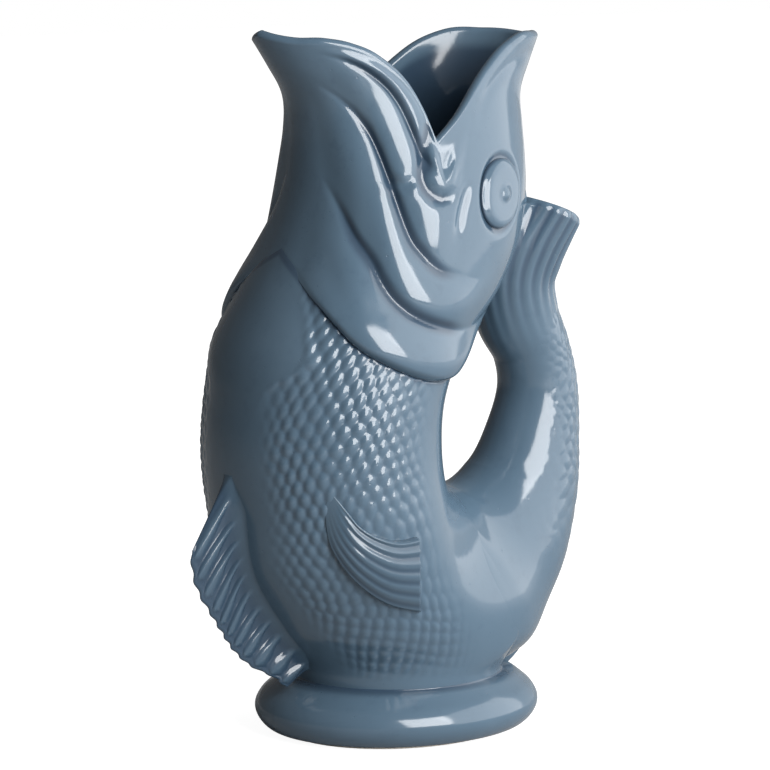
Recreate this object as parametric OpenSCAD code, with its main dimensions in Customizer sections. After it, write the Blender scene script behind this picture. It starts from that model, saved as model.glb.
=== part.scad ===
// Gurgle jug in the shape of a standing fish, in millimetres, +Z up.
// The origin is the middle of the foot, on the table. The spout points to -X, the handle to +X.

/* [Jug] */
// height from the table to the tips of the lips
jug_h = 240; // [160:1:360]
// how far the belly stands out in front of the foot's middle
front_reach = 71; // [50:0.5:100]
// how far the back lip stands out behind the foot's middle
back_reach = 57; // [40:0.5:80]
// width of the trunk where it is widest
body_w = 89; // [60:0.5:130]
// thickness of the fired clay wall
wall = 4; // [2.5:0.1:7]

/* [Foot] */
// length of the foot from front to back
foot_l = 101; // [80:0.5:150]
// width of the foot from side to side
foot_w = 90; // [70:0.5:130]
// height of the foot, where the trunk starts
foot_h = 20; // [12:0.5:32]
// thickness of the floor inside the jug
floor_t = 5; // [3:0.5:8]
// height of the bare ring that stands on the table
bare_h = 1.2; // [0.6:0.1:3]
// width of the bare ring
bare_w = 6; // [3:0.5:10]

/* [Head] */
// how far the bands of the gill cover bulge
gill_bulge = 2.6; // [1:0.1:5]
// how far the edge of the gill cover stands out from the scales
collar_step = 2; // [0.8:0.1:4]
// how far the rolled edge of the front jaw bulges
lip_roll = 1.3; // [0.4:0.1:3]
// how far the pads at the corners of the mouth bulge
corner_pad = 2; // [0.8:0.1:4]
// how far the smooth breast plate stands out from the scales
breast_step = 1.2; // [0.5:0.1:3]
// radius of the ring around each eye
eye_r = 11.5; // [7:0.5:16]
// how far each eye ring stands out
eye_t = 1.9; // [1:0.1:4]

/* [Tail] */
// distance of the tail's axis from the foot's middle, where the hand goes round it
tail_reach = 61.5; // [50:0.5:85]
// thickness of the tail where the hand goes round it, from front to back
tail_d = 28.4; // [20:0.2:42]
// width of the tail at the same place, from side to side
tail_w = 28.4; // [20:0.2:42]
// reach of the soft fillet where the tail meets the body
fillet = 28; // [8:0.5:32]
// number of ribs round the fan at the top of the tail
tail_ribs = 22; // [10:1:32]
// height of those ribs
rib_h = 0.9; // [0.4:0.1:2]

/* [Fins] */
// thickness of the front fin at its root
front_fin_t = 7; // [4:0.5:12]
// number of rays in the front fin
front_rays = 11; // [6:1:16]
// thickness of the small fin under the tail
rear_fin_t = 5; // [3:0.5:9]
// how far the side fins stand out from the trunk
side_fin_t = 4.2; // [2:0.1:7]
// number of rays in each side fin
side_rays = 6; // [3:1:10]
// height of the rays
ray_h = 0.9; // [0.3:0.1:1.6]
// gap between a fin or an eye and the wall that carries it
seat_gap = 0.3; // [0.2:0.05:0.6]

/* [Hidden] */
glaze = [0.36, 0.43, 0.49];
clay = [0.86, 0.83, 0.77];
// columns round the body, rows up the trunk, rows in each band of the head
cols = 64;
trunk_rows = 24;
head_rows = [9, 8, 7, 5];
inner_rows = 7;
tail_cols = 36;
tail_rows = 30;
fan_rows = 12;
// where along the tail the fan starts and where the air space ends, as shares of its length
fan_start_share = 0.74;
air_end_share = 0.93;
// where the tail comes out of the trunk
root_share = 0.12;
// angle of the mouth's corner from the spout, and the column that is turned to stand there
corner_ang = 75;
corner_col = 14;

// the body: height, front, back and half width, as shares of jug_h, front_reach, back_reach, body_w / 2
body_shares = [
  [0.083, 0.520, 0.648, 0.770],
  [0.100, 0.535, 0.655, 0.775],
  [0.167, 0.720, 0.560, 0.880],
  [0.250, 0.905, 0.340, 0.966],
  [0.333, 0.962, 0.180, 1.000],
  [0.417, 0.988, 0.110, 1.000],
  [0.496, 0.968, 0.150, 0.989],
  [0.563, 0.932, 0.310, 0.970],
  [0.633, 0.810, 0.580, 0.945],
  [0.700, 0.672, 0.742, 0.910],
  [0.771, 0.582, 0.812, 0.848],
  [0.821, 0.562, 0.824, 0.783],
  [0.858, 0.564, 0.824, 0.730],
  [0.908, 0.600, 0.830, 0.680],
  [0.950, 0.700, 0.920, 0.655],
  [1.000, 0.830, 1.030, 0.635]];

// heights by angle from the spout, as shares of jug_h: the rim of both jaws and the folds
rim_front_shares = [[0, 1.000], [12, 0.995], [25, 0.991], [40, 0.990], [50, 0.983], [59.5, 0.965],
  [68, 0.925], [72, 0.888], [75, 0.850]];
rim_back_shares = [[75, 0.850], [89, 0.884], [98.5, 0.912], [108, 0.943], [117.5, 0.969], [129, 0.986],
  [150, 0.989], [180, 0.985]];
lip_shares = [[0, 0.982], [20, 0.976], [38, 0.966], [46, 0.957], [52.5, 0.942], [58, 0.918], [61, 0.895],
  [63.5, 0.868], [65.5, 0.843], [69, 0.820], [75, 0.810], [87, 0.836], [102, 0.880], [117, 0.925],
  [133, 0.953], [155, 0.966], [180, 0.970]];
second_shares = [[0, 0.950], [20, 0.930], [32, 0.905], [39.5, 0.880], [44, 0.856], [47.5, 0.826],
  [51, 0.793], [56, 0.756], [63, 0.719], [70.5, 0.696], [79.5, 0.676], [90, 0.665], [110, 0.660],
  [130, 0.690], [155, 0.740], [180, 0.760]];
third_shares = [[0, 0.845], [10, 0.820], [18.5, 0.790], [28, 0.757], [37.5, 0.722], [49, 0.688], [57, 0.662],
  [65, 0.640], [74.5, 0.621], [84.5, 0.608], [98.5, 0.596], [115, 0.588], [132, 0.595], [155, 0.630],
  [180, 0.660]];
collar_shares = [[0, 0.692], [18.5, 0.662], [33.5, 0.631], [45, 0.605], [53, 0.587], [63, 0.568],
  [70.5, 0.557], [81.5, 0.543], [94, 0.530], [109.5, 0.520], [123, 0.519], [140, 0.538],
  [160, 0.567], [180, 0.580]];

// the tail: axis distance and height, half depth and half width, as shares of tail_reach, jug_h,
// tail_d / 2 and tail_w / 2
tail_shares = [
  [0.000, 0.158, 2.110, 2.250],
  [0.390, 0.192, 2.180, 2.110],
  [0.683, 0.250, 1.937, 1.760],
  [0.878, 0.325, 1.514, 1.373],
  [0.967, 0.400, 1.197, 1.127],
  [1.000, 0.467, 1.000, 1.000],
  [0.952, 0.525, 0.950, 0.958],
  [0.850, 0.575, 1.035, 1.000],
  [0.795, 0.625, 1.060, 1.100],
  [0.825, 0.672, 1.060, 1.310],
  [0.910, 0.724, 1.020, 1.600]];

// the foot's profile: how far it lies inside the outer edge and how high, as shares of
// foot_lift and foot_h
foot_lift = 15;
foot_shares = [[0.60, 0.06], [0.28, 0.10], [0.06, 0.27], [0.00, 0.47], [0.14, 0.68], [0.43, 0.87]];

// the front fin, from its leading ray down: height of the root, then reach and height of the tip,
// as shares of jug_h, front_reach and jug_h
front_fin_shares = [
  [0.00, 0.392, 1.190, 0.292],
  [0.10, 0.350, 1.182, 0.258],
  [0.20, 0.317, 1.145, 0.229],
  [0.30, 0.288, 1.090, 0.203],
  [0.45, 0.250, 1.022, 0.172],
  [0.60, 0.208, 0.958, 0.145],
  [0.75, 0.171, 0.862, 0.119],
  [0.90, 0.129, 0.718, 0.095],
  [1.00, 0.102, 0.655, 0.080]];
// the rear fin: place along the tail, reach beyond the tail as a share of tail_d
rear_fin_shares = [[0.109, 0.120], [0.118, 0.160], [0.130, 0.190], [0.150, 0.200], [0.165, 0.140],
  [0.178, 0.042]];
// a side fin: along the fin, angle from the spout of its upper and lower edge, heights as shares
side_fin_shares = [
  [0.00, 54.0, 0.379, 50.0, 0.362],
  [0.20, 60.0, 0.356, 50.0, 0.314],
  [0.40, 65.5, 0.333, 54.0, 0.279],
  [0.60, 73.0, 0.318, 60.5, 0.244],
  [0.80, 82.0, 0.310, 69.0, 0.217],
  [1.00, 93.5, 0.312, 82.0, 0.202]];
// the eyes: angle from the spout, height as a share of jug_h
eye_ang = 111;
eye_z_share = 0.771;

// curves

function soft(t) = let (c = max(0, min(1, t))) c * c * (3 - 2 * c);
function spot(t, x, i = 0) = (i >= len(t) - 2 || x < t[i + 1][0]) ? i : spot(t, x, i + 1);
function rise(t, i, c) = (t[i + 1][c] - t[i][c]) / (t[i + 1][0] - t[i][0]);
function gap_at(t, i) = t[i + 1][0] - t[i][0];
function slope(t, i, c) = i == 0 ? rise(t, 0, c) : i == len(t) - 1 ? rise(t, i - 1, c) :
  (rise(t, i - 1, c) * gap_at(t, i) + rise(t, i, c) * gap_at(t, i - 1)) /
  (gap_at(t, i) + gap_at(t, i - 1));
// smooth curve through a table: t is the table, x the place, c the column to read
function curve(t, x0, c) =
  let (x = max(t[0][0], min(t[len(t) - 1][0], x0)))
  let (i = spot(t, x))
  let (h = gap_at(t, i))
  let (u = (x - t[i][0]) / h)
  (2 * u * u * u - 3 * u * u + 1) * t[i][c] + (u * u * u - 2 * u * u + u) * h * slope(t, i, c) +
  (3 * u * u - 2 * u * u * u) * t[i + 1][c] + (u * u * u - u * u) * h * slope(t, i + 1, c);

// the body's ovals

function from_spout(ang) = abs(ang - 180);
function rim_z(p) = jug_h * (p < corner_ang ? curve(rim_front_shares, p, 1) : curve(rim_back_shares, p, 1));
function lip_z(p) = jug_h * curve(lip_shares, p, 1);
function second_z(p) = jug_h * curve(second_shares, p, 1);
function third_z(p) = jug_h * curve(third_shares, p, 1);
function collar_z(p) = jug_h * curve(collar_shares, p, 1);
// middle, half depth and half width of the body at a height
function body_oval(z) =
  let (s = z / jug_h)
  let (f = -front_reach * curve(body_shares, s, 1))
  let (b = back_reach * curve(body_shares, s, 2))
  [(f + b) / 2, (b - f) / 2, body_w / 2 * curve(body_shares, s, 3)];
// point of an oval at an angle, pushed outwards by off
function oval_point(o, ang, off) =
  let (n = [cos(ang) / o[1], sin(ang) / o[2]])
  let (m = n / norm(n))
  [o[0] + o[1] * cos(ang) + off * m[0], o[2] * sin(ang) + off * m[1]];
function body_point(ang, z, off) = let (q = oval_point(body_oval(z), ang, off)) [q[0], q[1], z];

// how far a point lies outside the body
function off_body(p) =
  let (o = body_oval(p[2]))
  let (r = norm([(p[0] - o[0]) / o[1], p[1] / o[2]]))
  norm([p[0] - o[0], p[1]]) * (1 - 1 / max(r, 0.01));
// the tail's oval at a place along it: x, z, half depth, half width
function tail_at(s) =
  let (n = len(tail_shares) - 1)
  let (t = [for (i = [0:n]) concat([i / n], tail_shares[i])])
  [tail_reach * curve(t, s, 1), jug_h * curve(t, s, 2), tail_d / 2 * curve(t, s, 3),
   tail_w / 2 * curve(t, s, 4)];
function tail_dir(s) =
  let (e = 0.001)
  let (a = tail_at(max(0, s - e)))
  let (b = tail_at(min(1, s + e)))
  let (d = [b[0] - a[0], b[1] - a[1]])
  d / norm(d);
tail_list = [for (i = [0:24])
  let (s = root_share + (1 - root_share) * i / 24)
  concat(tail_at(s), tail_dir(s))];
// how far a point lies outside the tail
function off_tail(p) = min([for (t = tail_list)
  let (v = [p[0] - t[0], p[2] - t[1]])
  let (q = v[0] * t[5] - v[1] * t[4])
  let (l = v[0] * t[4] + v[1] * t[5])
  let (r = norm([q / t[2], p[1] / t[3], l / t[2]]))
  norm([q, p[1], l]) * (1 - 1 / max(r, 0.01))]);
// reach of the fillet at a height: it is wide at the foot of the tail and tight at the head
fillet_low_share = 0.42;
fillet_top_share = 0.54;
fillet_left_share = 0.25;
function fillet_at(z) = fillet * (1 - (1 - fillet_left_share) *
  soft((z / jug_h - fillet_low_share) / (fillet_top_share - fillet_low_share)));
// swelling of a fillet at a distance from the other surface
function swell(d, z) = let (f = fillet_at(z)) d >= f ? 0 : f / 4 * pow(1 - max(0, d) / f, 2);

// bulge of one band between two folds
function band(z, top, low) = (z >= top || z <= low) ? 0 :
  pow(sin(180 * pow((top - z) / (top - low), 1.3)), 0.8);
// raised pad at the corner of the mouth
pad_shares = [80, 0.812, 13, 0.046];
function pad(p, z) =
  let (r = norm([(p - pad_shares[0]) / pad_shares[2], (z / jug_h - pad_shares[1]) / pad_shares[3]]))
  soft((1 - r) / 0.35);
function head_relief(p, z) =
  lip_roll * band(z, rim_z(p), lip_z(p)) * soft((p - 30) / 20) * (1 - soft((p - 66) / 8)) +
  0.8 * gill_bulge * band(z, lip_z(p), second_z(p)) * soft((p - 24) / 25) * (1 - soft((p - 72) / 16)) +
  0.9 * gill_bulge * band(z, second_z(p), third_z(p)) * soft((p - 14) / 25) * (1 - soft((p - 88) / 30)) +
  gill_bulge * band(z, third_z(p), collar_z(p)) * soft((p + 5) / 30) * (1 - 0.6 * soft((p - 120) / 40)) +
  collar_step * (1 - soft((z - collar_z(p)) / (third_z(p) - collar_z(p)))) *
    (1 - 0.6 * soft((p - 115) / 40)) +
  corner_pad * pad(p, z);
// the smooth plate on the breast: its side edge by height
breast_shares = [[0.46, 14], [0.49, 20], [0.52, 26], [0.545, 40], [0.571, 42], [0.585, 39.5], [0.617, 34],
  [0.642, 26], [0.663, 18], [0.70, 10]];
function breast(p, z) = breast_step * soft((curve(breast_shares, z / jug_h, 1) - p) / 8) *
  soft((z / jug_h - 0.465) / 0.02);
function trunk_relief(p, z) = breast(p, z);
function foot_fade(z) = soft((z - foot_h) / (0.8 * foot_h));

function trunk_point(ang, z) =
  let (b = body_point(ang, z, 0))
  body_point(ang, z, foot_fade(z) * (trunk_relief(from_spout(ang), z) + swell(off_tail(b), z)));
function head_point(ang, z) =
  let (b = body_point(ang, z, 0))
  body_point(ang, z, head_relief(from_spout(ang), z) + swell(off_tail(b), z));

// angle of a column: the columns are turned a little so that one meets the mouth's corner
function col_ang(i) =
  let (t = 360 * i / cols)
  let (c = 360 * corner_col / cols)
  t + (c - corner_ang) / sin(c) * sin(t);
function trunk_z(p, v) = foot_h + (collar_z(p) - foot_h) * v;
trunk_out = [for (j = [0:trunk_rows]) [for (i = [0:cols - 1])
  let (a = col_ang(i)) trunk_point(a, trunk_z(from_spout(a), j / trunk_rows))]];
trunk_in = [for (j = [0:trunk_rows]) [for (i = [0:cols - 1])
  let (a = col_ang(i)) body_point(a, trunk_z(from_spout(a), j / trunk_rows), -wall)]];
// heights of the head's rows: each band has its own share of rows, so that the folds stay sharp
function head_lines(p) = [collar_z(p), third_z(p), second_z(p), lip_z(p), rim_z(p)];
head_steps = [for (b = [0:3]) for (k = [0:head_rows[b] - 1]) b + k / head_rows[b]];
function head_z(p, v) =
  let (l = head_lines(p))
  let (b = min(3, floor(v)))
  l[b] + (l[b + 1] - l[b]) * (v - b);
head_out = [for (v = head_steps) [for (i = [0:cols - 1])
  let (a = col_ang(i)) head_point(a, head_z(from_spout(a), v))]];
// the rounded lip, from the outside over the top to the inside
lip_arc = [for (k = [0:4]) let (t = 180 * k / 4) [wall / 2 * (cos(t) - 1), wall / 2 * sin(t)]];
lip_rings = [for (k = lip_arc) [for (i = [0:cols - 1])
  let (a = col_ang(i))
  let (z = rim_z(from_spout(a)) - wall / 2)
  let (q = body_point(a, z, k[0]))
  [q[0], q[1], z + k[1]]]];
function inner_z(p, v) = rim_z(p) - wall / 2 + (collar_z(p) - rim_z(p) + wall / 2) * v;
head_in = [for (j = [1:inner_rows]) [for (i = [0:cols - 1])
  let (a = col_ang(i)) body_point(a, inner_z(from_spout(a), j / inner_rows), -wall)]];

// solids from rings

function flat(l) = [for (a = l) for (b = a) b];
// faces between rings r and r + 1 of n points, all round
function skin(n, r, first = 0) = flat([for (i = [0:n - 1])
  let (a = first + r * n + i)
  let (b = first + r * n + (i + 1) % n)
  [[a, a + n, b], [b, a + n, b + n]]]);
// closed loop of rings: the last ring joins the first one
function loop_skin(n, rows) = flat([for (r = [0:rows - 1]) flat([for (i = [0:n - 1])
  let (j = (i + 1) % n)
  let (s = (r + 1) % rows)
  [[r * n + i, s * n + i, r * n + j], [r * n + j, s * n + i, s * n + j]]])]);
// a solid whose rings run round a loop, such as a wall with an inside and an outside
module ring_loop(rings) {
  polyhedron(flat(rings), loop_skin(len(rings[0]), len(rings)), convexity = 8);
}
function middle(r) = [for (k = [0:2]) let (l = [for (p = r) p[k]]) (min(l) + max(l)) / 2];
// a solid from a stack of rings, closed at both ends round a middle point
module stack(rings) {
  n = len(rings[0]);
  m = len(rings);
  low = [for (i = [0:n - 1]) [i, (i + 1) % n, m * n]];
  top = [for (i = [0:n - 1]) [(m - 1) * n + (i + 1) % n, (m - 1) * n + i, m * n + 1]];
  points = concat(flat(rings), [middle(rings[0]), middle(rings[m - 1])]);
  polyhedron(points, concat(low, flat([for (r = [0:m - 2]) skin(n, r)]), top), convexity = 8);
}

// foot

foot_oval = [0, foot_l / 2, foot_w / 2];
neck_oval = body_oval(foot_h);
function foot_ring(q) = [for (i = [0:cols - 1])
  let (p = oval_point(foot_oval, col_ang(i), -foot_lift * q[0])) [p[0], p[1], foot_h * q[1]]];
function neck_ring(off, z) = [for (i = [0:cols - 1])
  let (p = oval_point(neck_oval, col_ang(i), off)) [p[0], p[1], z]];
floor_z = foot_h / 2;
module foot() {
  under = -foot_lift * foot_shares[0][0] - bare_w;
  rings = concat(
    [[for (i = [0:cols - 1]) let (p = oval_point(foot_oval, col_ang(i), under)) [p[0], p[1], bare_h]]],
    [foot_ring([foot_shares[0][0], bare_h / foot_h])],
    [for (k = [1:len(foot_shares) - 1]) foot_ring(foot_shares[k])],
    [neck_ring(0, foot_h), neck_ring(-wall, foot_h)],
    [neck_ring(-wall - wall / 2, floor_z + floor_t + wall / 2)],
    [neck_ring(-wall * 2, floor_z + floor_t)]);
  n = cols;
  m = len(rings);
  points = concat(flat(rings), [[0, 0, floor_z + floor_t], [0, 0, floor_z]],
    neck_ring(-wall * 2, floor_z));
  inside = [for (i = [0:n - 1]) [(m - 1) * n + (i + 1) % n, (m - 1) * n + i, m * n]];
  below = [for (i = [0:n - 1]) [m * n + 2 + i, m * n + 2 + (i + 1) % n, m * n + 1]];
  wall_up = flat([for (i = [0:n - 1])
    let (j = (i + 1) % n)
    [[i, j, m * n + 2 + i], [j, m * n + 2 + j, m * n + 2 + i]]]);
  color(glaze)
    polyhedron(points, concat(flat([for (r = [0:m - 2]) skin(n, r)]), inside, below, wall_up),
      convexity = 8);
}
// the bare ring that the jug stands on
module bare_ring() {
  out_x = foot_l / 2 - foot_lift * foot_shares[0][0];
  out_y = foot_w / 2 - foot_lift * foot_shares[0][0];
  oval = function (inset) [for (i = [0:cols - 1])
    [(out_x - inset) * cos(col_ang(i)), (out_y - inset) * sin(col_ang(i))]];
  color(clay)
    linear_extrude(bare_h)
      difference() {
        polygon(oval(bare_h));
        polygon(oval(bare_w));
      }
}

// trunk and head

// the window in the trunk's wall that lets air into the tail
port_rows = [7, 12];
port_cols = 3;
function in_port(i, j) = j >= port_rows[0] && j < port_rows[1] && (i < port_cols || i >= cols - port_cols);
module trunk() {
  n = cols;
  m = trunk_rows + 1;
  inner = m * n;
  outer_faces = flat([for (r = [0:m - 2]) flat([for (i = [0:n - 1])
    let (j = (i + 1) % n)
    in_port(i, r) ? [] :
      [[r * n + i, r * n + n + i, r * n + j], [r * n + j, r * n + n + i, r * n + n + j]]])]);
  inner_faces = flat([for (r = [0:m - 2]) flat([for (i = [0:n - 1])
    let (j = (i + 1) % n)
    let (a = inner + r * n)
    in_port(i, r) ? [] : [[a + i, a + j, a + n + i], [a + j, a + n + j, a + n + i]]])]);
  low = flat([for (i = [0:n - 1])
    let (j = (i + 1) % n)
    [[i, j, inner + i], [j, inner + j, inner + i]]]);
  t = (m - 1) * n;
  top = flat([for (i = [0:n - 1])
    let (j = (i + 1) % n)
    [[t + i, inner + t + i, inner + t + j], [t + i, inner + t + j, t + j]]]);
  a = port_rows[0] * n;
  b = port_rows[1] * n;
  sill = flat([for (k = [-port_cols:port_cols - 1])
    let (i = (k + n) % n)
    let (j = (k + 1 + n) % n)
    [[a + i, inner + a + i, a + j], [a + j, inner + a + i, inner + a + j],
     [b + i, b + j, inner + b + i], [b + j, inner + b + j, inner + b + i]]]);
  sides = flat([for (r = [port_rows[0]:port_rows[1] - 1])
    let (l = r * n + n - port_cols)
    let (h = r * n + port_cols)
    [[l, l + n, inner + l], [l + n, inner + l + n, inner + l],
     [h, inner + h, h + n], [h + n, inner + h, inner + h + n]]]);
  color(glaze)
    polyhedron(concat(flat(trunk_out), flat(trunk_in)),
      concat(outer_faces, inner_faces, low, top, sill, sides), convexity = 8);
}
module head() {
  rings = concat([trunk_out[trunk_rows]], head_out, lip_rings, head_in);
  color(glaze)
    ring_loop(rings);
}
// the body filled up, at the back only, to cut the tail to its surface
module body_back() {
  q = cols / 4 + 1;
  rings = [for (r = concat(trunk_out, [for (k = [0:len(head_out) - 1]) head_out[k]]))
    concat([for (i = [cols - q:cols - 1]) r[i]], [for (i = [0:q]) r[i]])];
  stack(rings);
}

// tail

// a point on the tail: place along it, angle round it (0 is the outside), pushed out by off
function tail_point(s, ang, off) =
  let (t = tail_at(s))
  let (d = tail_dir(s))
  let (q = oval_point([0, t[2], t[3]], ang, off))
  [t[0] + d[1] * q[0], q[1], t[1] - d[0] * q[0]];
function tail_ribbing(s, ang) = rib_h * soft((s - 0.6) / 0.3) * (0.5 - 0.5 * cos(tail_ribs * ang));
function tail_skin(s, ang) =
  let (b = tail_point(s, ang, 0))
  tail_point(s, ang, swell(max(0, off_body(b)), b[2]) * foot_fade(b[2]) + tail_ribbing(s, ang));
function tail_ring(s, n) = [for (i = [0:n - 1]) tail_skin(s, 360 * i / n)];
function air_ring(s, n) = [for (i = [0:n - 1]) tail_point(s, 360 * i / n, -wall)];
module tail_cut() {
  low = foot_h + seat_gap;
  body_back();
  translate([0, -body_w, -low])
    cube([foot_l, 2 * body_w, 2 * low]);
}
module air_space(from) {
  steps = 16;
  stack([for (k = [0:steps]) air_ring(from + (air_end_share - from) * k / steps, 20)]);
}
module tail_handle() {
  color(glaze)
    difference() {
      stack([for (k = [0:tail_rows]) tail_ring(fan_start_share * k / tail_rows, tail_cols)]);
      air_space(0.08);
      tail_cut();
    }
}
module tail_fin() {
  dome = wall / 2;
  top = tail_at(1);
  d = tail_dir(1);
  rings = concat(
    [for (k = [0:fan_rows]) tail_ring(fan_start_share + (1 - fan_start_share) * k / fan_rows, tail_cols)],
    [for (k = [1:2]) [for (i = [0:tail_cols - 1])
      let (q = tail_point(1, 360 * i / tail_cols, -dome * k * k / 2))
      [q[0] + d[0] * dome * (0.4 + 0.3 * k), q[1], q[2] + d[1] * dome * (0.4 + 0.3 * k)]]]);
  color(glaze)
    difference() {
      stack(rings);
      air_space(0.5);
      tail_cut();
    }
}

// fins and eyes

// a thin patch that lies on a surface: under and over are grids of the same size
module patch(under, over) {
  m = len(under);
  n = len(under[0]);
  c = m * n;
  faces_over = flat([for (r = [0:m - 2]) flat([for (i = [0:n - 2])
    let (a = c + r * n + i)
    [[a, a + n, a + 1], [a + 1, a + n, a + n + 1]]])]);
  faces_under = flat([for (r = [0:m - 2]) flat([for (i = [0:n - 2])
    let (a = r * n + i)
    [[a, a + 1, a + n], [a + 1, a + n + 1, a + n]]])]);
  edge_low = flat([for (i = [0:n - 2]) [[i, c + i, i + 1], [i + 1, c + i, c + i + 1]]]);
  t = (m - 1) * n;
  edge_top = flat([for (i = [0:n - 2])
    [[t + i, t + i + 1, c + t + i], [t + i + 1, c + t + i + 1, c + t + i]]]);
  edge_a = flat([for (r = [0:m - 2])
    let (a = r * n)
    [[a, a + n, c + a], [a + n, c + a + n, c + a]]]);
  edge_b = flat([for (r = [0:m - 2])
    let (a = r * n + n - 1)
    [[a, c + a, a + n], [a + n, c + a, c + a + n]]]);
  polyhedron(concat(flat(under), flat(over)),
    concat(faces_over, faces_under, edge_low, edge_top, edge_a, edge_b), convexity = 6);
}

// a foot taller than this share of the jug lifts the front fin and the rear fin clear of it
foot_share = 1 / 12;
// the front fin is a blade in the middle plane; its root follows the trunk, its rays point down
module front_fin() {
  lift = max(0, foot_h - jug_h * foot_share);
  across = 7;
  along = front_rays * 3;
  side = [for (k = [0:along])
    let (u = k / along)
    let (zr = lift + jug_h * curve(front_fin_shares, u, 1))
    let (ray = 0.5 - 0.5 * cos(360 * front_rays * u))
    let (reach = front_reach * curve(front_fin_shares, u, 2))
    let (tip = [-reach - ray_h * ray, lift + jug_h * curve(front_fin_shares, u, 3)])
    [for (j = [0:across])
      let (v = j / across)
      let (edge = sqrt(max(0, 1 - pow(v, 6))) * min(1, 0.35 + 2 * min(u, 1 - u) / 0.1))
      let (w = max(edge * (front_fin_t / 2 * (1 - 0.55 * v) - ray_h * (1 - ray) * soft(v / 0.35)), wall / 8))
      let (clear = seat_gap + wall / 8 * (1 - soft((zr - foot_h) / (1.5 * foot_h))))
      let (root = body_point(180, zr, clear)[0] + front_drop(w, zr))
      [root + (tip[0] - root) * v, w, zr + (tip[1] - zr) * v]]];
  color(glaze)
    patch(side, [for (r = side) [for (q = r) [q[0], -q[1], q[2]]]]);
}
// how far the front of an oval falls back at a half width
function front_drop(w, z) = let (o = body_oval(z)) o[1] * (1 - sqrt(max(0, 1 - w * w / o[2] / o[2])));

// the rear fin leans back from the underside of the tail
rear_lean_share = 0.36;
module rear_fin() {
  lift = 4 * max(0, foot_h / jug_h - foot_share);
  low = rear_fin_shares[0][0];
  high = rear_fin_shares[len(rear_fin_shares) - 1][0];
  along = 14;
  across = 5;
  side = [for (k = [0:along])
    let (s = low + (high - low) * k / along)
    let (reach = tail_d * curve(rear_fin_shares, s, 1))
    let (b = tail_point(s + lift, 0, 0))
    let (q = tail_point(s + lift, 0, seat_gap + swell(max(0, off_body(b)), b[2]) * foot_fade(b[2])))
    [for (j = [0:across])
      let (v = j / across)
      let (w = rear_fin_t / 2 * (1 - 0.4 * v) * sqrt(max(0.1, 1 - pow(v, 4))))
      [q[0] + reach * v, w, q[2] - reach * v * rear_lean_share]]];
  color(glaze)
    patch(side, [for (r = side) [for (q = r) [q[0], -q[1], q[2]]]]);
}

function side_fin_point(u, v, off) =
  let (p = curve(side_fin_shares, u, 1) * (1 - v) + curve(side_fin_shares, u, 3) * v)
  let (z = jug_h * (curve(side_fin_shares, u, 2) * (1 - v) + curve(side_fin_shares, u, 4) * v))
  let (b = body_point(180 + p, z, 0))
  body_point(180 + p, z, off + swell(off_tail(b), z));
module side_fin() {
  along = 15;
  across = side_rays * 3;
  under = [for (k = [0:along]) [for (j = [0:across])
    side_fin_point(k / along, j / across, seat_gap)]];
  over = [for (k = [0:along]) [for (j = [0:across])
    let (u = k / along)
    let (v = j / across)
    let (body = side_fin_t * (0.25 + 0.75 * soft(u / 0.7)) * (0.45 + 0.55 * pow(sin(180 * v), 0.6)))
    let (ray = ray_h * (0.5 - 0.5 * cos(360 * side_rays * v)) * soft(u / 0.3))
    side_fin_point(u, v, seat_gap + body - ray)]];
  patch(under, over);
}
module side_fin_right() {
  color(glaze)
    side_fin();
}
module side_fin_left() {
  color(glaze)
    mirror([0, 1, 0])
      side_fin();
}

// height of the eye over the head: a ring, a hollow and a pupil
eye_shares = [[0, 1.15], [0.14, 0.95], [0.26, 0.45], [0.50, 0.62], [0.66, 0.95], [0.80, 1.00],
  [0.92, 0.72], [1, 0.30]];
module eye() {
  rings = 8;
  n = 28;
  z0 = jug_h * eye_z_share;
  o = body_oval(z0);
  per_mm = 180 / PI / norm([o[1] * sin(eye_ang), o[2] * cos(eye_ang)]);
  spot_at = function (r, a, off)
    let (p = eye_ang + per_mm * r * cos(a))
    let (z = z0 + r * sin(a))
    let (b = body_point(180 + p, z, 0))
    body_point(180 + p, z, off + head_relief(p, z) + swell(off_tail(b), z));
  under = [for (k = [0:rings]) [for (i = [0:n])
    spot_at(eye_r * max(k, 0.02) / rings, 360 * i / n, seat_gap)]];
  over = [for (k = [0:rings]) [for (i = [0:n])
    spot_at(eye_r * max(k, 0.02) / rings, 360 * i / n, seat_gap + eye_t * curve(eye_shares, k / rings, 1))]];
  disc(under, over, n, rings);
}
// a round patch from polar grids
module disc(under, over, n, rings) {
  lo = [for (k = [1:rings]) [for (i = [0:n - 1]) under[k][i]]];
  hi = [for (k = [1:rings]) [for (i = [0:n - 1]) over[k][i]]];
  c = rings * n;
  points = concat(flat(lo), flat(hi), [under[0][0], over[0][0]]);
  grid_lo = flat([for (r = [0:rings - 2]) flat([for (i = [0:n - 1])
    let (j = (i + 1) % n)
    [[r * n + i, r * n + n + i, r * n + j], [r * n + j, r * n + n + i, r * n + n + j]]])]);
  grid_hi = flat([for (r = [0:rings - 2]) flat([for (i = [0:n - 1])
    let (j = (i + 1) % n)
    let (a = c + r * n)
    [[a + i, a + j, a + n + i], [a + j, a + n + j, a + n + i]]])]);
  tip_lo = [for (i = [0:n - 1]) [i, (i + 1) % n, 2 * c]];
  tip_hi = [for (i = [0:n - 1]) [c + (i + 1) % n, c + i, 2 * c + 1]];
  e = (rings - 1) * n;
  edge = flat([for (i = [0:n - 1])
    let (j = (i + 1) % n)
    [[e + i, c + e + i, e + j], [e + j, c + e + i, c + e + j]]]);
  polyhedron(points, concat(grid_lo, grid_hi, tip_lo, tip_hi, edge), convexity = 6);
}
module eye_right() {
  color(glaze)
    eye();
}
module eye_left() {
  color(glaze)
    mirror([0, 1, 0])
      eye();
}

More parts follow.
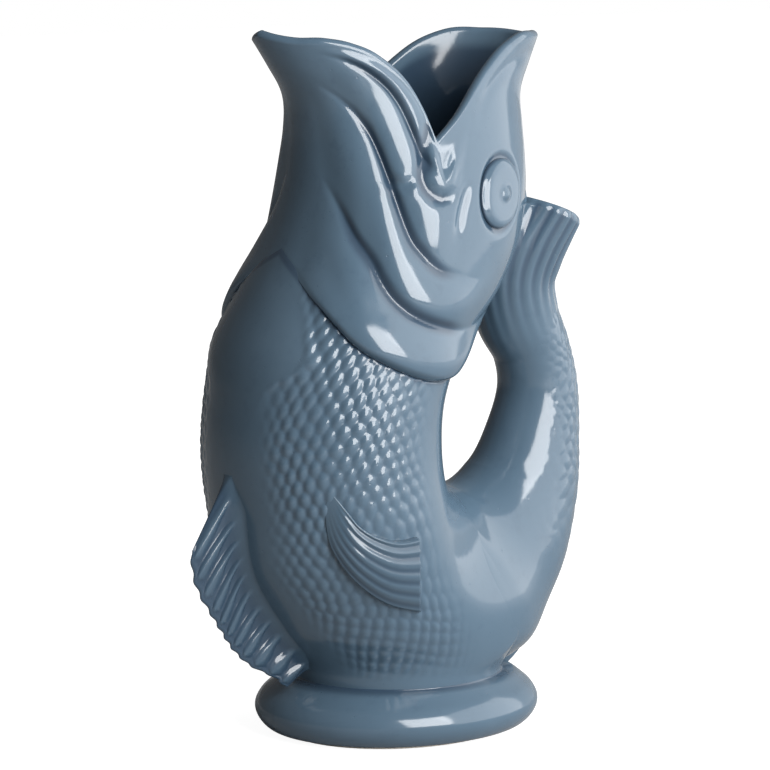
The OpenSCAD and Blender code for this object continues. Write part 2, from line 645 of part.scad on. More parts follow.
bare_ring();
foot();
trunk();
head();
tail_handle();
tail_fin();
front_fin();
rear_fin();
side_fin_left();
side_fin_right();
eye_left();
eye_right();
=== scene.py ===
"""Gurgle jug in the shape of a standing fish, dressed in its slate blue-grey gloss glaze.

Every glazed surface is worked out in millimetres with numpy, from the same named sizes and tables
as the solid model, then finished with the relief that the glaze carries: scales, gill folds, fin
rays and the ribs of the tail. The spout points to -X and the handle to +X.
"""
import math

import bpy
import numpy as np
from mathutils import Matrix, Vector


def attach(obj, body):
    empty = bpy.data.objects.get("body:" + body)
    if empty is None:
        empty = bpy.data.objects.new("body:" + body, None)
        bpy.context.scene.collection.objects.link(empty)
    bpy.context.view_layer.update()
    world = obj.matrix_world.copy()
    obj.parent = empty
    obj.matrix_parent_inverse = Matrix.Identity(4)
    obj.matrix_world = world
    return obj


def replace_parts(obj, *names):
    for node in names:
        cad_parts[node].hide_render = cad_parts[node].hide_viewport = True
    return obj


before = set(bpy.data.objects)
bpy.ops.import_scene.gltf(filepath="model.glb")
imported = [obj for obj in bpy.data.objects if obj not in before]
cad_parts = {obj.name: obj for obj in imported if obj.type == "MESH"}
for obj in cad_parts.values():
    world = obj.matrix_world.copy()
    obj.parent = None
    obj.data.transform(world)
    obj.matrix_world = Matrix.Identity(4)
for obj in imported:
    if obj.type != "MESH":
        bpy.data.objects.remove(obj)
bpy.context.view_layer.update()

# sizes in millimetres, as in the solid model
JUG_H = 240.0
FRONT_REACH = 71.0
BACK_REACH = 57.0
BODY_W = 89.0
WALL = 4.0
FOOT_L = 101.0
FOOT_W = 90.0
FOOT_H = 20.0
FLOOR_T = 5.0
BARE_H = 1.2
BARE_W = 6.0
GILL_BULGE = 2.6
COLLAR_STEP = 2.0
LIP_ROLL = 1.3
CORNER_PAD = 1.6
BREAST_STEP = 1.2
EYE_R = 11.5
TAIL_REACH = 61.5
TAIL_D = 28.4
TAIL_W = 28.4
FILLET = 28.0
TAIL_RIBS = 22
RIB_H = 0.9
FRONT_FIN_T = 7.0
FRONT_RAYS = 11
FRONT_TURN = 7.0
FRONT_BLEND = 0.45
REAR_FIN_T = 5.0
REAR_LEAN = 0.36
SIDE_FIN_T = 4.2
SIDE_RAYS = 6
RAY_H = 0.9
FOOT_LIFT = 15.0
FAN_START = 0.74
ROOT_START = 0.12
CORNER_ANG = 75.0
EYE_ANG = 111.0
EYE_Z = 0.771 * JUG_H
MM_PER_DEG = 0.75

# height, front, back and half width of the body, as shares
BODY = np.array([
    (0.083, 0.520, 0.648, 0.770), (0.100, 0.535, 0.655, 0.775), (0.167, 0.720, 0.560, 0.880),
    (0.250, 0.905, 0.340, 0.966), (0.333, 0.962, 0.180, 1.000), (0.417, 0.988, 0.110, 1.000),
    (0.496, 0.968, 0.150, 0.989), (0.563, 0.932, 0.310, 0.970), (0.633, 0.810, 0.580, 0.945),
    (0.700, 0.672, 0.742, 0.910), (0.771, 0.582, 0.812, 0.848), (0.821, 0.562, 0.824, 0.783),
    (0.858, 0.564, 0.824, 0.730), (0.908, 0.600, 0.830, 0.680), (0.950, 0.700, 0.920, 0.655),
    (1.000, 0.830, 1.030, 0.635)])
# heights by angle from the spout, as shares of the jug's height
RIM_FRONT = np.array([
    (0, 1), (12, 0.995), (25, 0.991), (40, 0.990), (50, 0.983), (59.5, 0.965), (68, 0.925),
    (72, 0.888), (75, 0.850)])
RIM_BACK = np.array([
    (75, 0.850), (89, 0.884), (98.5, 0.912), (108, 0.943), (117.5, 0.969), (129, 0.986),
    (150, 0.989), (180, 0.985)])
LIP = np.array([
    (0, 0.982), (20, 0.976), (38, 0.966), (46, 0.957), (52.5, 0.942), (58, 0.918), (61, 0.895),
    (63.5, 0.868), (65.5, 0.843), (69, 0.820), (75, 0.810), (87, 0.836), (102, 0.880),
    (117, 0.925), (133, 0.953), (155, 0.966), (180, 0.970)])
SECOND = np.array([
    (0, 0.950), (20, 0.930), (32, 0.905), (39.5, 0.880), (44, 0.856), (47.5, 0.826), (51, 0.793),
    (56, 0.756), (63, 0.719), (70.5, 0.696), (79.5, 0.676), (90, 0.665), (110, 0.660),
    (130, 0.690), (155, 0.740), (180, 0.760)])
THIRD = np.array([
    (0, 0.845), (10, 0.820), (18.5, 0.790), (28, 0.757), (37.5, 0.722), (49, 0.688), (57, 0.662),
    (65, 0.640), (74.5, 0.621), (84.5, 0.608), (98.5, 0.596), (115, 0.588), (132, 0.595),
    (155, 0.630), (180, 0.660)])
COLLAR = np.array([
    (0, 0.692), (18.5, 0.662), (33.5, 0.631), (45, 0.605), (53, 0.587), (63, 0.568),
    (70.5, 0.557), (81.5, 0.543), (94, 0.530), (109.5, 0.520), (123, 0.519), (140, 0.538),
    (160, 0.567), (180, 0.580)])
# the tail along its length: reach, height, half depth and half width, as shares
TAIL = np.array([
    (0.000, 0.158, 2.110, 2.250), (0.390, 0.192, 2.180, 2.110), (0.683, 0.250, 1.937, 1.760),
    (0.878, 0.325, 1.514, 1.373), (0.967, 0.400, 1.197, 1.127), (1.000, 0.467, 1.000, 1.000),
    (0.952, 0.525, 0.950, 0.958), (0.850, 0.575, 1.035, 1.000), (0.795, 0.625, 1.060, 1.100),
    (0.825, 0.672, 1.060, 1.310), (0.910, 0.724, 1.020, 1.600)])
FOOT = np.array([
    (0.60, 0.06), (0.28, 0.10), (0.06, 0.27), (0.00, 0.47), (0.14, 0.68), (0.43, 0.87)])
FRONT_FIN = np.array([
    (0.00, 0.392, 1.190, 0.292), (0.10, 0.350, 1.182, 0.258), (0.20, 0.317, 1.145, 0.229),
    (0.30, 0.288, 1.090, 0.203), (0.45, 0.250, 1.022, 0.172), (0.60, 0.208, 0.958, 0.145),
    (0.75, 0.171, 0.862, 0.119), (0.90, 0.129, 0.718, 0.095), (1.00, 0.102, 0.655, 0.080)])
REAR_FIN = np.array([
    (0.109, 0.12), (0.118, 0.16), (0.130, 0.19), (0.150, 0.20), (0.165, 0.14), (0.178, 0.042)])
SIDE_FIN = np.array([
    (0.0, 54.0, 0.379, 50.0, 0.362), (0.2, 60.0, 0.356, 50.0, 0.314),
    (0.4, 65.5, 0.333, 54.0, 0.279), (0.6, 73.0, 0.318, 60.5, 0.244),
    (0.8, 82.0, 0.310, 69.0, 0.217), (1.0, 93.5, 0.312, 82.0, 0.202)])
# side edge of the smooth breast plate: height as a share, angle from the spout
BREAST = np.array([
    (0.46, 14), (0.49, 20), (0.52, 26), (0.545, 40), (0.571, 42), (0.585, 39.5), (0.617, 34),
    (0.642, 26), (0.663, 18), (0.70, 10)])
# lines on the head, as angle from the spout and height in millimetres
LOBE = [(75.5, 192.5), (78.5, 199), (83, 207), (90, 217)]
SLITS = [[(83, 200), (77, 193)], [(85, 195), (79, 188.5)]]
NOSTRIL = [(90, 191), (86.8, 186), (84.6, 180.5), (84.4, 175.5), (85.4, 169.5)]
BAND_END = [(48, 194), (53, 190.5), (58.5, 190), (64, 194.5)]
SOFT_FOLD = [(20, 171), (33, 162), (47, 151), (59, 143)]
# creases: line, width, depth, its ridges as a share of the depth, its tapered ends as a share
CREASES = [
    (BAND_END, 1.7, 0.7, 0.3, 0.3), (NOSTRIL, 1.6, 1.0, 0.12, 0.35),
    (SOFT_FOLD, 3.4, 0.7, 0.5, 0.4),
    (SLITS[0], 0.8, 0.22, 0.3, 0.45), (SLITS[1], 0.8, 0.22, 0.3, 0.45)]
# bands of the gill cover from the rim down: height, then the angles from the spout where each
# starts, over how much it grows, where it stops, over how much it fades, and how much it loses
BANDS = [
    (LIP_ROLL, 30, 20, 66, 8), (0.8 * GILL_BULGE, 32, 24, 72, 16),
    (0.9 * GILL_BULGE, 14, 25, 88, 30), (GILL_BULGE, 10, 38, 120, 40, 0.6)]
# folds between the bands: line, depth, then the same angles
FOLDS = [(LIP, 0.7, 34, 22, 68, 5), (SECOND, 0.9, 20, 28, 78, 20), (THIRD, 0.9, 14, 26, 98, 26)]
FOLD_W = 1.5
FOLD_POOL_W = 2.4
# in degrees from the spout: where each starts or stops, and over how much
COLLAR_START = (14, 36)
COLLAR_STOP = (115, 40, 0.6)
PAD_GROOVE_STOP = (73, 11)
BROW_ENDS = (96, 14, 140, 20)
SCALES_SOFTEN = (62, 14)
SCALES_STOP = (92, 20)
# in millimetres of height, or under the rim for PAD_RIM: where each starts, and over how much
PAD_TOP = (197, 22)
PAD_RIM = (3, 13)
PAD_GROOVE_TOP = (204, 8)
BELLY = (46, 44)
STAGGER = (36, 26)
SCALES_FROM = (22.5, 7)
SCALES_GROW = (30, 22)
PLAIN_FRONT_RISE = (35, 25)
# pad at the mouth's corner and the groove round it: distances from the line of the lobe
PAD_R = 7.6
PAD_EDGE = 5.5
PAD_GROOVE_R = 7.9
PAD_GROOVE_W = 2.3
PAD_GROOVE_D = 1.2
PAD_POOL_W = 2.2
PAD_POOL_TOP = 210
# hollow under the rim over the eyes
BROW_D = 0.4
BROW_W = 3.2
BROW_DROP = 8
# groove round an eye
EYE_MM_PER_DEG = 0.83
EYE_GROOVE_D = 1.1
EYE_GROOVE_W = 1.5
EYE_GROOVE_OFF = 0.4
EYE_POOL_W = 1.6
EYE_POOL_OFF = 0.6
# scales of the trunk: columns in degrees, rows in millimetres, and the plain front beside them
SCALE_H = 0.82
SCALE_LESS = 0.10
SCALE_ANG = 60
SCALE_MM_PER_DEG = 0.71
SCALE_PITCH = 5.7
PITCH_MORE = 0.7
ROW_PITCH = 4.5
ROW_MORE = 0.1
ROW_RISE = 0.44
ROW_SINK = 0.14
SCALE_LEAN = 8.0
SCALE_LEAN_Z = 54
SCALE_HALF_A = 0.54
SCALE_HALF_B = 0.78
PLAIN_FRONT = 17
PLAIN_FRONT_LOW = 8
PLAIN_FRONT_FADE = 20
BREAST_FADE = 16
# trunk and head: where their walls meet under the collar, and the collar's rounded edge
TRUNK_UNDER = 0.6
TRUNK_OVER = 2.5
TUCK_D = 0.8
TUCK_SIDE = (-0.2, 1.2)
TUCK_FRONT = (1.2, 2.5)
# the trunk's glaze is darker just under the collar's edge: where that starts below the trunk's top,
# and over how much it grows
UNDER_COLLAR_DARK = (-4.5, 2.5)
INNER_GAP = 0.5
INNER_ROUND = 0.6
HEAD_UNDER = 1.2
EDGE_R = 2.4
EDGE_STEP = 1.2
EDGE_SHARE = 0.035
FRONT_SUNK = 0.25
FRONT_SUNK_H = 2.6
LIP_FADE = 5.0
# the trunk's inner wall is given this much of the pooled colour as painted shade
INSIDE_PAINTED_SHADE = 0.3
# how soon down the mouth's inner wall the glaze takes its full pooled colour, as painted shade
MOUTH_PAINTED_SHADE = 0.08
# tail: where its ribs and scales start, grow, stop and fade, as shares of its length, the size
# and pitch of the scales, and the dome that closes its top
RIBS_GROW = (0.6, 0.3)
TAIL_SCALES = (0.14, 0.2, 0.58, 0.12)
TAIL_SCALE_ANG = 18.0
TAIL_SCALE_ROWS = 42.0
TAIL_SCALE_H = 0.22
TAIL_SCALE_MORE = 0.10
TAIL_SMOOTHINGS = 12
DOME_H = 2.7
TIP_H = 1.2
TIP_DEPTH = 0.15
# foot: the neck that joins it to the body, and the hollow over the bare ring
NECK_OUT = 0.15
NECK_PULL = 18
NECK_RISE = 3.0
BOWL_OVER = 0.2
ROOF_IN = 3.0
# fins and eyes
THINNEST = 0.12
SEAT_GAP = 0.3
SKIN_IN = -0.06
FRONT_TIP_IN = 0.25
FRONT_THIN = 0.50
FRONT_SIDE = 3.5
REAR_RAYS = 4
REAR_SUNK = 1.0
SIDE_SUNK = 0.9
EYE_LIFT = 0.15
EYE_SUNK = 1.4
EYE_RINGS = np.array([
    (0, 1.75), (0.08, 1.65), (0.16, 1.25), (0.22, 0.85), (0.30, 0.70), (0.45, 0.80), (0.62, 1.0),
    (0.78, 1.12), (0.88, 0.95), (0.95, 0.45), (1.0, -0.3)])
# rows and columns of the grids
COLS = 416
TRUNK_ROWS = 208
TRUNK_INNER_ROWS = 10
EDGE_ROWS = 9
HEAD_ROWS = 156
LIP_ROWS = 15
HEAD_INNER_ROWS = 34
TAIL_GRID = (330, 208)
FOOT_COLS = 288
FOOT_ROWS = 60
NECK_ROWS = 14
FRONT_GRID = (280, 46)
REAR_GRID = (90, 24)
SIDE_GRID = (150, 110)
EYE_GRID = (44, 96)
# glazes: colour, pooled colour and thin colour of each
GLAZE = ((0.068, 0.110, 0.153), (0.029, 0.051, 0.081), (0.094, 0.141, 0.188))
SCALE_GLAZE = ((0.068, 0.110, 0.153), (0.038, 0.065, 0.101), (0.094, 0.141, 0.188))
# the fins carry the same glaze as the body, given a darker colour as painted shade
SHADED_FIN_GLAZE = ((0.057, 0.094, 0.132), (0.028, 0.050, 0.079), (0.094, 0.140, 0.187))
GLAZE_IOR = 1.52
GLAZE_BUMP = 0.0004
CLOUD_SHARE = 0.45
CLOUD_ROUGH = 0.035
MOTTLING_SHARE = 0.22
MOTTLING_ROUGH = 0.02
PEEL_SHARE = 0.12
PINHOLE_D = 0.6
# noise scales of the glaze and the clay, per metre
CLOUDS = 22.0
MOTTLING = 160.0
SPECK_CELLS = 420.0
SPECK_PATCHES = 70.0
WAVES = 55.0
PEEL_GRAIN = 420.0
PINHOLES = 150.0
CLAY_GRAIN = 900.0
CLAY_CLOUDS = 60.0
# bare clay
CLAY_BUFF = (0.62, 0.56, 0.47, 1)
CLAY_PALE = (0.80, 0.76, 0.68, 1)
CLAY_WORN = (0.38, 0.34, 0.29, 1)
CLAY_ROUGH = 0.72
CLAY_BUMP = 0.0003
# floor and room, with the way that their light side lies
WHITE = (1, 1, 1, 1)
FLOOR_HALF = 4
FLOOR_GREY = (0.42, 0.42, 0.42, 1)
FLOOR_ROUGH = 0.9
FLOOR_SEEN = 0.94
# glow of the floor that only glossy rays see, on its light side: a painted reflection
FLOOR_PAINTED_REFLECTION = 0.85
FLOOR_WAY = (0.78, -0.62, 0)
ROOM_WAY = (0.75, -0.60, -0.28)
ROOM_BRIGHT = 0.72
ROOM_DIM = 0.13
# lamps: angle from the spout, height angle, distance and size in metres, power in watts
LAMPS = {
    "key_window": (90, 22, 1.5, (0.92, 1.10), 34),
    "right_panel": (142, 15, 2.0, (2.8, 2.4), 42)}
LAMP_AIM = (0, 0, 0.13)
# camera, as worked out from the outline of the foot and the heights of the lips in the photo
PHOTO_PIXELS = 770
FOCAL_PIXELS = 3794.425
SENSOR = 36.0
CAMERA_PLACE = (-0.76944, -1.02005, 0.30211)
CAMERA_DOWN = 8.20216
CAMERA_ROUND = 53.15344
# working values: metres in a millimetre, the share of each step that finds the fillet, how far it
# may run past the meeting line, points in one batch, and the least r that an oval divides by
MM = 0.001
FILLET_STEP = 0.85
FILLET_PAST = 1.0
BATCH = 20000
SMALLEST_R = 0.01


def soft(t):
    """Smooth step: 0 below 0, 1 above 1, and 3t^2 - 2t^3 between."""
    t = np.clip(t, 0.0, 1.0)
    return t * t * (3.0 - 2.0 * t)


def past(x, start, length):
    """0 up to start, 1 from start + length on, and a smooth step between."""
    return soft((x - start) / length)


def window(x, start, grow, stop, fade, loss=1.0):
    """0 up to start, 1 after growing, and less by loss once it has faded past stop."""
    return past(x, start, grow) * (1 - loss * past(x, stop, fade))


def bell(x, width):
    """Bell curve: e to the power of minus the square of x over width."""
    return np.exp(-(x / width)**2)


def quarter(t):
    """Quarter circle: 1 up to 0, and falling as a round to 0 at 1."""
    return np.sqrt(np.clip(1 - np.clip(t, 0, 1)**2, 0, 1))


def hermite(u, start, leaving, end, arriving):
    """Cubic from start to end as u goes from 0 to 1, with the slopes leaving and arriving."""
    return ((2 * u**3 - 3 * u**2 + 1) * start + (u**3 - 2 * u**2 + u) * leaving
            + (3 * u**2 - 2 * u**3) * end + (u**3 - u**2) * arriving)


def curve(table, x, col=1):
    """Smooth curve through a table: a cubic Hermite piece between rows, whose slope at a row is
    the mean of the slopes on its two sides, weighted by the opposite gaps."""
    xs, ys = table[:, 0], table[:, col]
    gap = np.diff(xs)
    rise = np.diff(ys) / gap
    slope = np.empty(len(xs))
    slope[0], slope[-1] = rise[0], rise[-1]
    slope[1:-1] = (rise[:-1] * gap[1:] + rise[1:] * gap[:-1]) / (gap[1:] + gap[:-1])
    x = np.clip(x, xs[0], xs[-1])
    i = np.clip(np.searchsorted(xs, x, side="right") - 1, 0, len(xs) - 2)
    h = gap[i]
    return hermite((x - xs[i]) / h, ys[i], h * slope[i], ys[i + 1], h * slope[i + 1])


def from_spout(ang):
    """Angle from the spout, 0 to 180, of an angle round the body in degrees."""
    return np.abs(ang - 180.0)


def rim_z(p):
    """Height of the mouth's rim: the front jaw's curve up to the corner, then the back jaw's."""
    return JUG_H * np.where(p < CORNER_ANG, curve(RIM_FRONT, p), curve(RIM_BACK, p))


def line_z(table, p):
    """Height of a fold at an angle from the spout."""
    return JUG_H * curve(table, p)


def body_oval(z):
    """Middle, half depth and half width of the body's oval at a height."""
    s = z / JUG_H
    front = -FRONT_REACH * curve(BODY, s, 1)
    back = BACK_REACH * curve(BODY, s, 2)
    return (front + back) / 2, (back - front) / 2, BODY_W / 2 * curve(BODY, s, 3)


def oval_point(mid, half_x, half_y, ang, off):
    """Point of an oval at an angle, pushed out by off along the oval's own normal."""
    c, s = np.cos(np.radians(ang)), np.sin(np.radians(ang))
    nx, ny = c / half_x, s / half_y
    n = np.hypot(nx, ny)
    return mid + half_x * c + off * nx / n, half_y * s + off * ny / n


def body_point(ang, z, off):
    """Points of the body's surface at angles and heights, pushed out by off."""
    z = z + 0.0 * ang
    mid, half_x, half_y = body_oval(z)
    x, y = oval_point(mid, half_x, half_y, ang, off)
    return np.stack([x, y, z + 0.0 * x], -1)


def outside(distance, r):
    """Distance from the middle of an oval times 1 - 1/r, where r is that distance in units of the
    oval: 0 on it, positive outside and negative inside."""
    return distance * (1 - 1 / np.maximum(r, SMALLEST_R))


def off_body(p):
    """How far points lie outside the body, measured against its oval at their height."""
    mid, half_x, half_y = body_oval(p[..., 2])
    r = np.hypot((p[..., 0] - mid) / half_x, p[..., 1] / half_y)
    return outside(np.hypot(p[..., 0] - mid, p[..., 1]), r)


TAIL_ROWS = np.column_stack([np.linspace(0, 1, len(TAIL)), TAIL])


def tail_at(s):
    """Middle (x, z), half depth and half width of the tail's oval at a place along it."""
    return (TAIL_REACH * curve(TAIL_ROWS, s, 1), JUG_H * curve(TAIL_ROWS, s, 2),
            TAIL_D / 2 * curve(TAIL_ROWS, s, 3), TAIL_W / 2 * curve(TAIL_ROWS, s, 4))


def tail_dir(s):
    """Unit direction (x, z) of the tail's line at a place along it, by a small difference."""
    a, b = tail_at(np.maximum(0, s - 0.001)), tail_at(np.minimum(1, s + 0.001))
    dx, dz = b[0] - a[0], b[1] - a[1]
    n = np.hypot(dx, dz)
    return dx / n, dz / n


def tail_point(s, ang, off):
    """Points of the tail: its oval stands square to its line, angle 0 is the outside."""
    x, z, half_x, half_y = tail_at(s)
    dx, dz = tail_dir(s)
    q, y = oval_point(0.0, half_x, half_y, ang, off)
    return np.stack([x + dz * q, y, z - dx * q], -1)


TAIL_S = np.linspace(ROOT_START, 1, 220)
TAIL_LINE = np.stack([*tail_at(TAIL_S), *tail_dir(TAIL_S)], -1)


def off_tail(p):
    """How far points lie outside the tail: the nearest place of its line is found, and the
    distance from it is measured against the oval there. It works in batches to save memory."""
    flat = p.reshape(-1, 3)
    out = np.empty(len(flat))
    for part in np.array_split(np.arange(len(flat)), max(1, len(flat) // BATCH)):
        x, y, z = flat[part].T
        gap = (x[:, None] - TAIL_LINE[None, :, 0])**2 + (z[:, None] - TAIL_LINE[None, :, 1])**2
        mid_x, mid_z, half_x, half_y, dir_x, dir_z = TAIL_LINE[gap.argmin(1)].T
        dx, dz = x - mid_x, z - mid_z
        across, along = dx * dir_z - dz * dir_x, dx * dir_x + dz * dir_z
        r = np.sqrt((across / half_x)**2 + (y / half_y)**2 + (along / half_x)**2)
        out[part] = outside(np.sqrt(across**2 + y**2 + along**2), r)
    return out.reshape(p.shape[:-1])


def foot_fade(z):
    """0 at the top of the foot, 1 a little higher, so that the foot's neck stays plain."""
    return past(z, FOOT_H, 0.8 * FOOT_H)


def fillet_at(z):
    """Reach of the fillet at a height: full at the foot of the tail, a quarter at the head."""
    return FILLET * (1 - 0.75 * past(z / JUG_H, 0.42, 0.12))


def joined(own, other, k):
    """Distance to two surfaces joined by a round fillet of reach k: the nearer distance, less k/4
    times the square of 1 - the difference of the two over k. Past the line where they meet, half
    the square of the difference over k is added, which sinks the surface under the other."""
    near = np.minimum(own, other)
    h = np.maximum(0, k - np.abs(own - other)) / k
    return near - h * h * k / 4 + 0.5 * np.maximum(0, own - other)**2 / k


def fillet_push(place, own, other, steps=6):
    """How far each point of a surface is pushed out to lie on the fillet: it starts at 0 and
    steps by most of the joined distance, and it stops a little past the meeting line."""
    k = fillet_at(place(0.0)[..., 2])
    h = np.zeros(k.shape)
    for _ in range(steps):
        p = place(h)
        h = np.clip(h - FILLET_STEP * joined(own(p), other(p), k), 0.0, k / 4 + FILLET_PAST)
    return h


def near_other(place, own, other, start=0.25):
    """1 where the other surface is far, 0 where the two meet: it grows from start times the
    fillet's reach on, and fades the relief near the join."""
    p = place(0.0)
    k = fillet_at(p[..., 2])
    return soft((other(p) - own(p) - start * k) / (0.42 * k))


def band(z, top, low):
    """Bulge of one band of the gill cover: sin of the depth in it to the power 1.3, to the 0.8."""
    t = np.clip((top - z) / (top - low), 0, 1)
    return np.sin(np.pi * t**1.3) ** 0.8 * ((t > 0) & (t < 1))


def smooth_path(points, steps=10):
    """A Catmull-Rom line through points, sampled evenly between each pair."""
    p = np.array(points, float)
    p = np.vstack([2 * p[0] - p[1], p, 2 * p[-1] - p[-2]])
    t = np.linspace(0, 1, steps, endpoint=False)[:, None]
    parts = [0.5 * (2 * b + (c - a) * t + (2 * a - 5 * b + 4 * c - d) * t**2
                    + (3 * b - a - 3 * c + d) * t**3)
             for a, b, c, d in zip(p[:-3], p[1:-2], p[2:-1], p[3:])]
    return np.vstack(parts + [p[-2:-1]])


def from_path(p, z, points, taper=0.25):
    """Distance in millimetres of places (angle, height) from a line drawn on the body, and a
    strength that tapers to 0 at both ends of the line."""
    line = smooth_path(points) * (MM_PER_DEG, 1.0)
    a, z = p * MM_PER_DEG, z + 0.0 * p
    best, along = np.full(a.shape, np.inf), np.zeros(a.shape)
    for i, (u, v) in enumerate(zip(line[:-1], line[1:])):
        d = v - u
        t = np.clip(((a - u[0]) * d[0] + (z - u[1]) * d[1]) / (d @ d), 0, 1)
        dist = np.hypot(a - u[0] - t * d[0], z - u[1] - t * d[1])
        near = dist < best
        best = np.where(near, dist, best)
        along = np.where(near, (i + t) / (len(line) - 1), along)
    return best, soft(along / taper) * soft((1 - along) / taper)


def crease(p, z, points, width, depth, ridge, taper):
    """A groove along a line: a bell of the distance, with a low rounded ridge on both sides that
    stands ridge times as high as the groove is deep."""
    dist, strength = from_path(p, z, points, taper)
    return strength * depth * (ridge * bell(dist - 2.1 * width, 0.9 * width) - bell(dist, width))


def fold(p, z, table, depth, *ends):
    """A groove along a fold's line between two angles from the spout, as a bell of the true
    distance from it. Gives its height and, as a wider bell, how the glaze pools in it."""
    rise = (line_z(table, p + 1) - line_z(table, p - 1)) / (2 * MM_PER_DEG)
    dist = (z - line_z(table, p)) / np.hypot(1, rise)
    there = window(p, *ends)
    return -there * depth * bell(dist, FOLD_W), there * bell(dist, FOLD_POOL_W)


def collar_front(p):
    """0 in front, where the gill cover runs into the breast, 1 from 50 degrees round on."""
    return past(p, *COLLAR_START)


def eye_groove(r):
    """Depth of the groove round an eye at a distance from its middle: a bell just outside it."""
    return EYE_GROOVE_D * bell(r - EYE_R - EYE_GROOVE_OFF, EYE_GROOVE_W)


def head_relief(p, z):
    """Relief of the head in millimetres, and how deep the glaze pools on it. It is a sum: the
    bands of the gill cover, the step of the collar, the pad at the mouth's corner and the groove
    round it, the brow's hollow, the folds, the creases and the grooves round the eyes."""
    lines = [rim_z(p)] + [line_z(table, p) for table in (LIP, SECOND, THIRD, COLLAR)]
    rim, third, collar = lines[0], lines[3], lines[4]
    h, pool = 0.0, 0.0
    for top, low, (height, *ends) in zip(lines, lines[1:], BANDS):
        h = h + height * band(z, top, low) * window(p, *ends)
    step = 1 - soft((z - collar) / (third - collar))
    h = h + COLLAR_STEP * step * window(p, *COLLAR_START, *COLLAR_STOP)
    lobe = from_path(p, z, LOBE)[0]
    pad = soft((PAD_R - lobe) / PAD_EDGE) * (1 - past(z, *PAD_TOP)) * past(rim - z, *PAD_RIM)
    h = h + CORNER_PAD * pad
    before = 1 - past(p, *PAD_GROOVE_STOP)
    groove = bell(lobe - PAD_GROOVE_R, PAD_GROOVE_W) * before * (1 - past(z, *PAD_GROOVE_TOP))
    h = h - PAD_GROOVE_D * groove
    h = h - BROW_D * bell(rim - z - BROW_DROP, BROW_W) * window(p, *BROW_ENDS)
    for line in FOLDS:
        groove, deep = fold(p, z, *line)
        h, pool = h + groove, pool + deep
    for line in CREASES:
        h = h + crease(p, z, *line)
    eye = np.hypot((p - EYE_ANG) * EYE_MM_PER_DEG, z - EYE_Z)
    pool = np.clip(pool, 0, 1) + 0.8 * bell(eye - EYE_R - EYE_POOL_OFF, EYE_POOL_W)
    pool = pool + 0.9 * before * bell(lobe - PAD_GROOVE_R, PAD_POOL_W) * (z < PAD_POOL_TOP)
    return h - eye_groove(eye), np.clip(pool, 0, 1)


def scales(a, b, stagger):
    """Rounded scales in rows: a counts columns and b rows, and odd rows stand half a column aside
    times stagger. Each scale is 1 minus the square of the distance from its middle in units of its
    half size, to the power 4. The scales of the two nearest rows are summed, to the power 0.42,
    which rounds their tops and leaves a narrow groove between them."""
    total = 0.0
    for k in (0, 1):
        row = np.floor(b) + k
        da = a - 0.5 * stagger * np.mod(row, 2)
        da = da - np.round(da)
        db = b - row
        total = total + np.maximum(0, 1 - (da / SCALE_HALF_A)**2 - (db / SCALE_HALF_B)**2) ** 4
    return total ** 0.42


def trunk_scales(p, z):
    """Height and pooling of the trunk's scales: rows rise towards the back on the belly, sink
    towards it lower down, and the scales line up into upright beads over the foot. A few sine
    waves in both directions make rows and columns as uneven as hand-cut ones."""
    high = past(z, *BELLY)
    arc = (p - SCALE_ANG) * SCALE_MM_PER_DEG
    lean = SCALE_LEAN * np.logaddexp(0, (SCALE_LEAN_Z - z) / SCALE_LEAN)
    wave = np.sin(arc / 7.7 + z / 11.3) + np.sin(z / 5.9 - arc / 15.0)
    wave = wave + 0.6 * np.sin(arc / 2.9 - z / 3.7)
    a = (p - SCALE_ANG + lean) / (SCALE_PITCH + PITCH_MORE * high) + 0.11 * wave
    wave = np.sin(arc / 5.3 - z / 17.0) + 0.7 * np.sin(z / 3.1 + arc / 4.3)
    rows = (z - (ROW_RISE * high - ROW_SINK) * arc) / (ROW_PITCH + ROW_MORE * high)
    h = scales(a, rows + 0.09 * wave, past(z, *STAGGER))
    size = SCALE_H - SCALE_LESS * (1 - past(z, *SCALES_GROW))
    size = size * (0.88 + 0.12 * np.sin(arc / 6.1 + z / 8.7)) * past(z, *SCALES_FROM)
    breast_side = PLAIN_FRONT + PLAIN_FRONT_LOW * (1 - past(z, *PLAIN_FRONT_RISE))
    size = size * past(p, breast_side, PLAIN_FRONT_FADE) * (1 - past(p, *SCALES_STOP))
    size = size * (1 - 0.20 * past(p, *SCALES_SOFTEN))
    return size * (h - 0.5), 0.45 * (1 - h) * np.clip(size / 0.5, 0, 1)


def breast(p, z):
    """The smooth breast plate: a step up inside its side edge, and along the edge a ridge, which
    is a bell of the angle. Gives its height, and 1 where it has no scales."""
    edge = curve(BREAST, z / JUG_H) - p
    low = past(z / JUG_H, 0.47, 0.05)
    fade = soft((line_z(COLLAR, p) - z) / BREAST_FADE)
    ridge = 0.62 * bell(edge - 2.5, 2.6) * (0.35 + 0.65 * past(z / JUG_H, 0.53, 0.03))
    return BREAST_STEP * low * fade * (0.30 * soft(edge / 9) + ridge), low * soft(edge / 6)


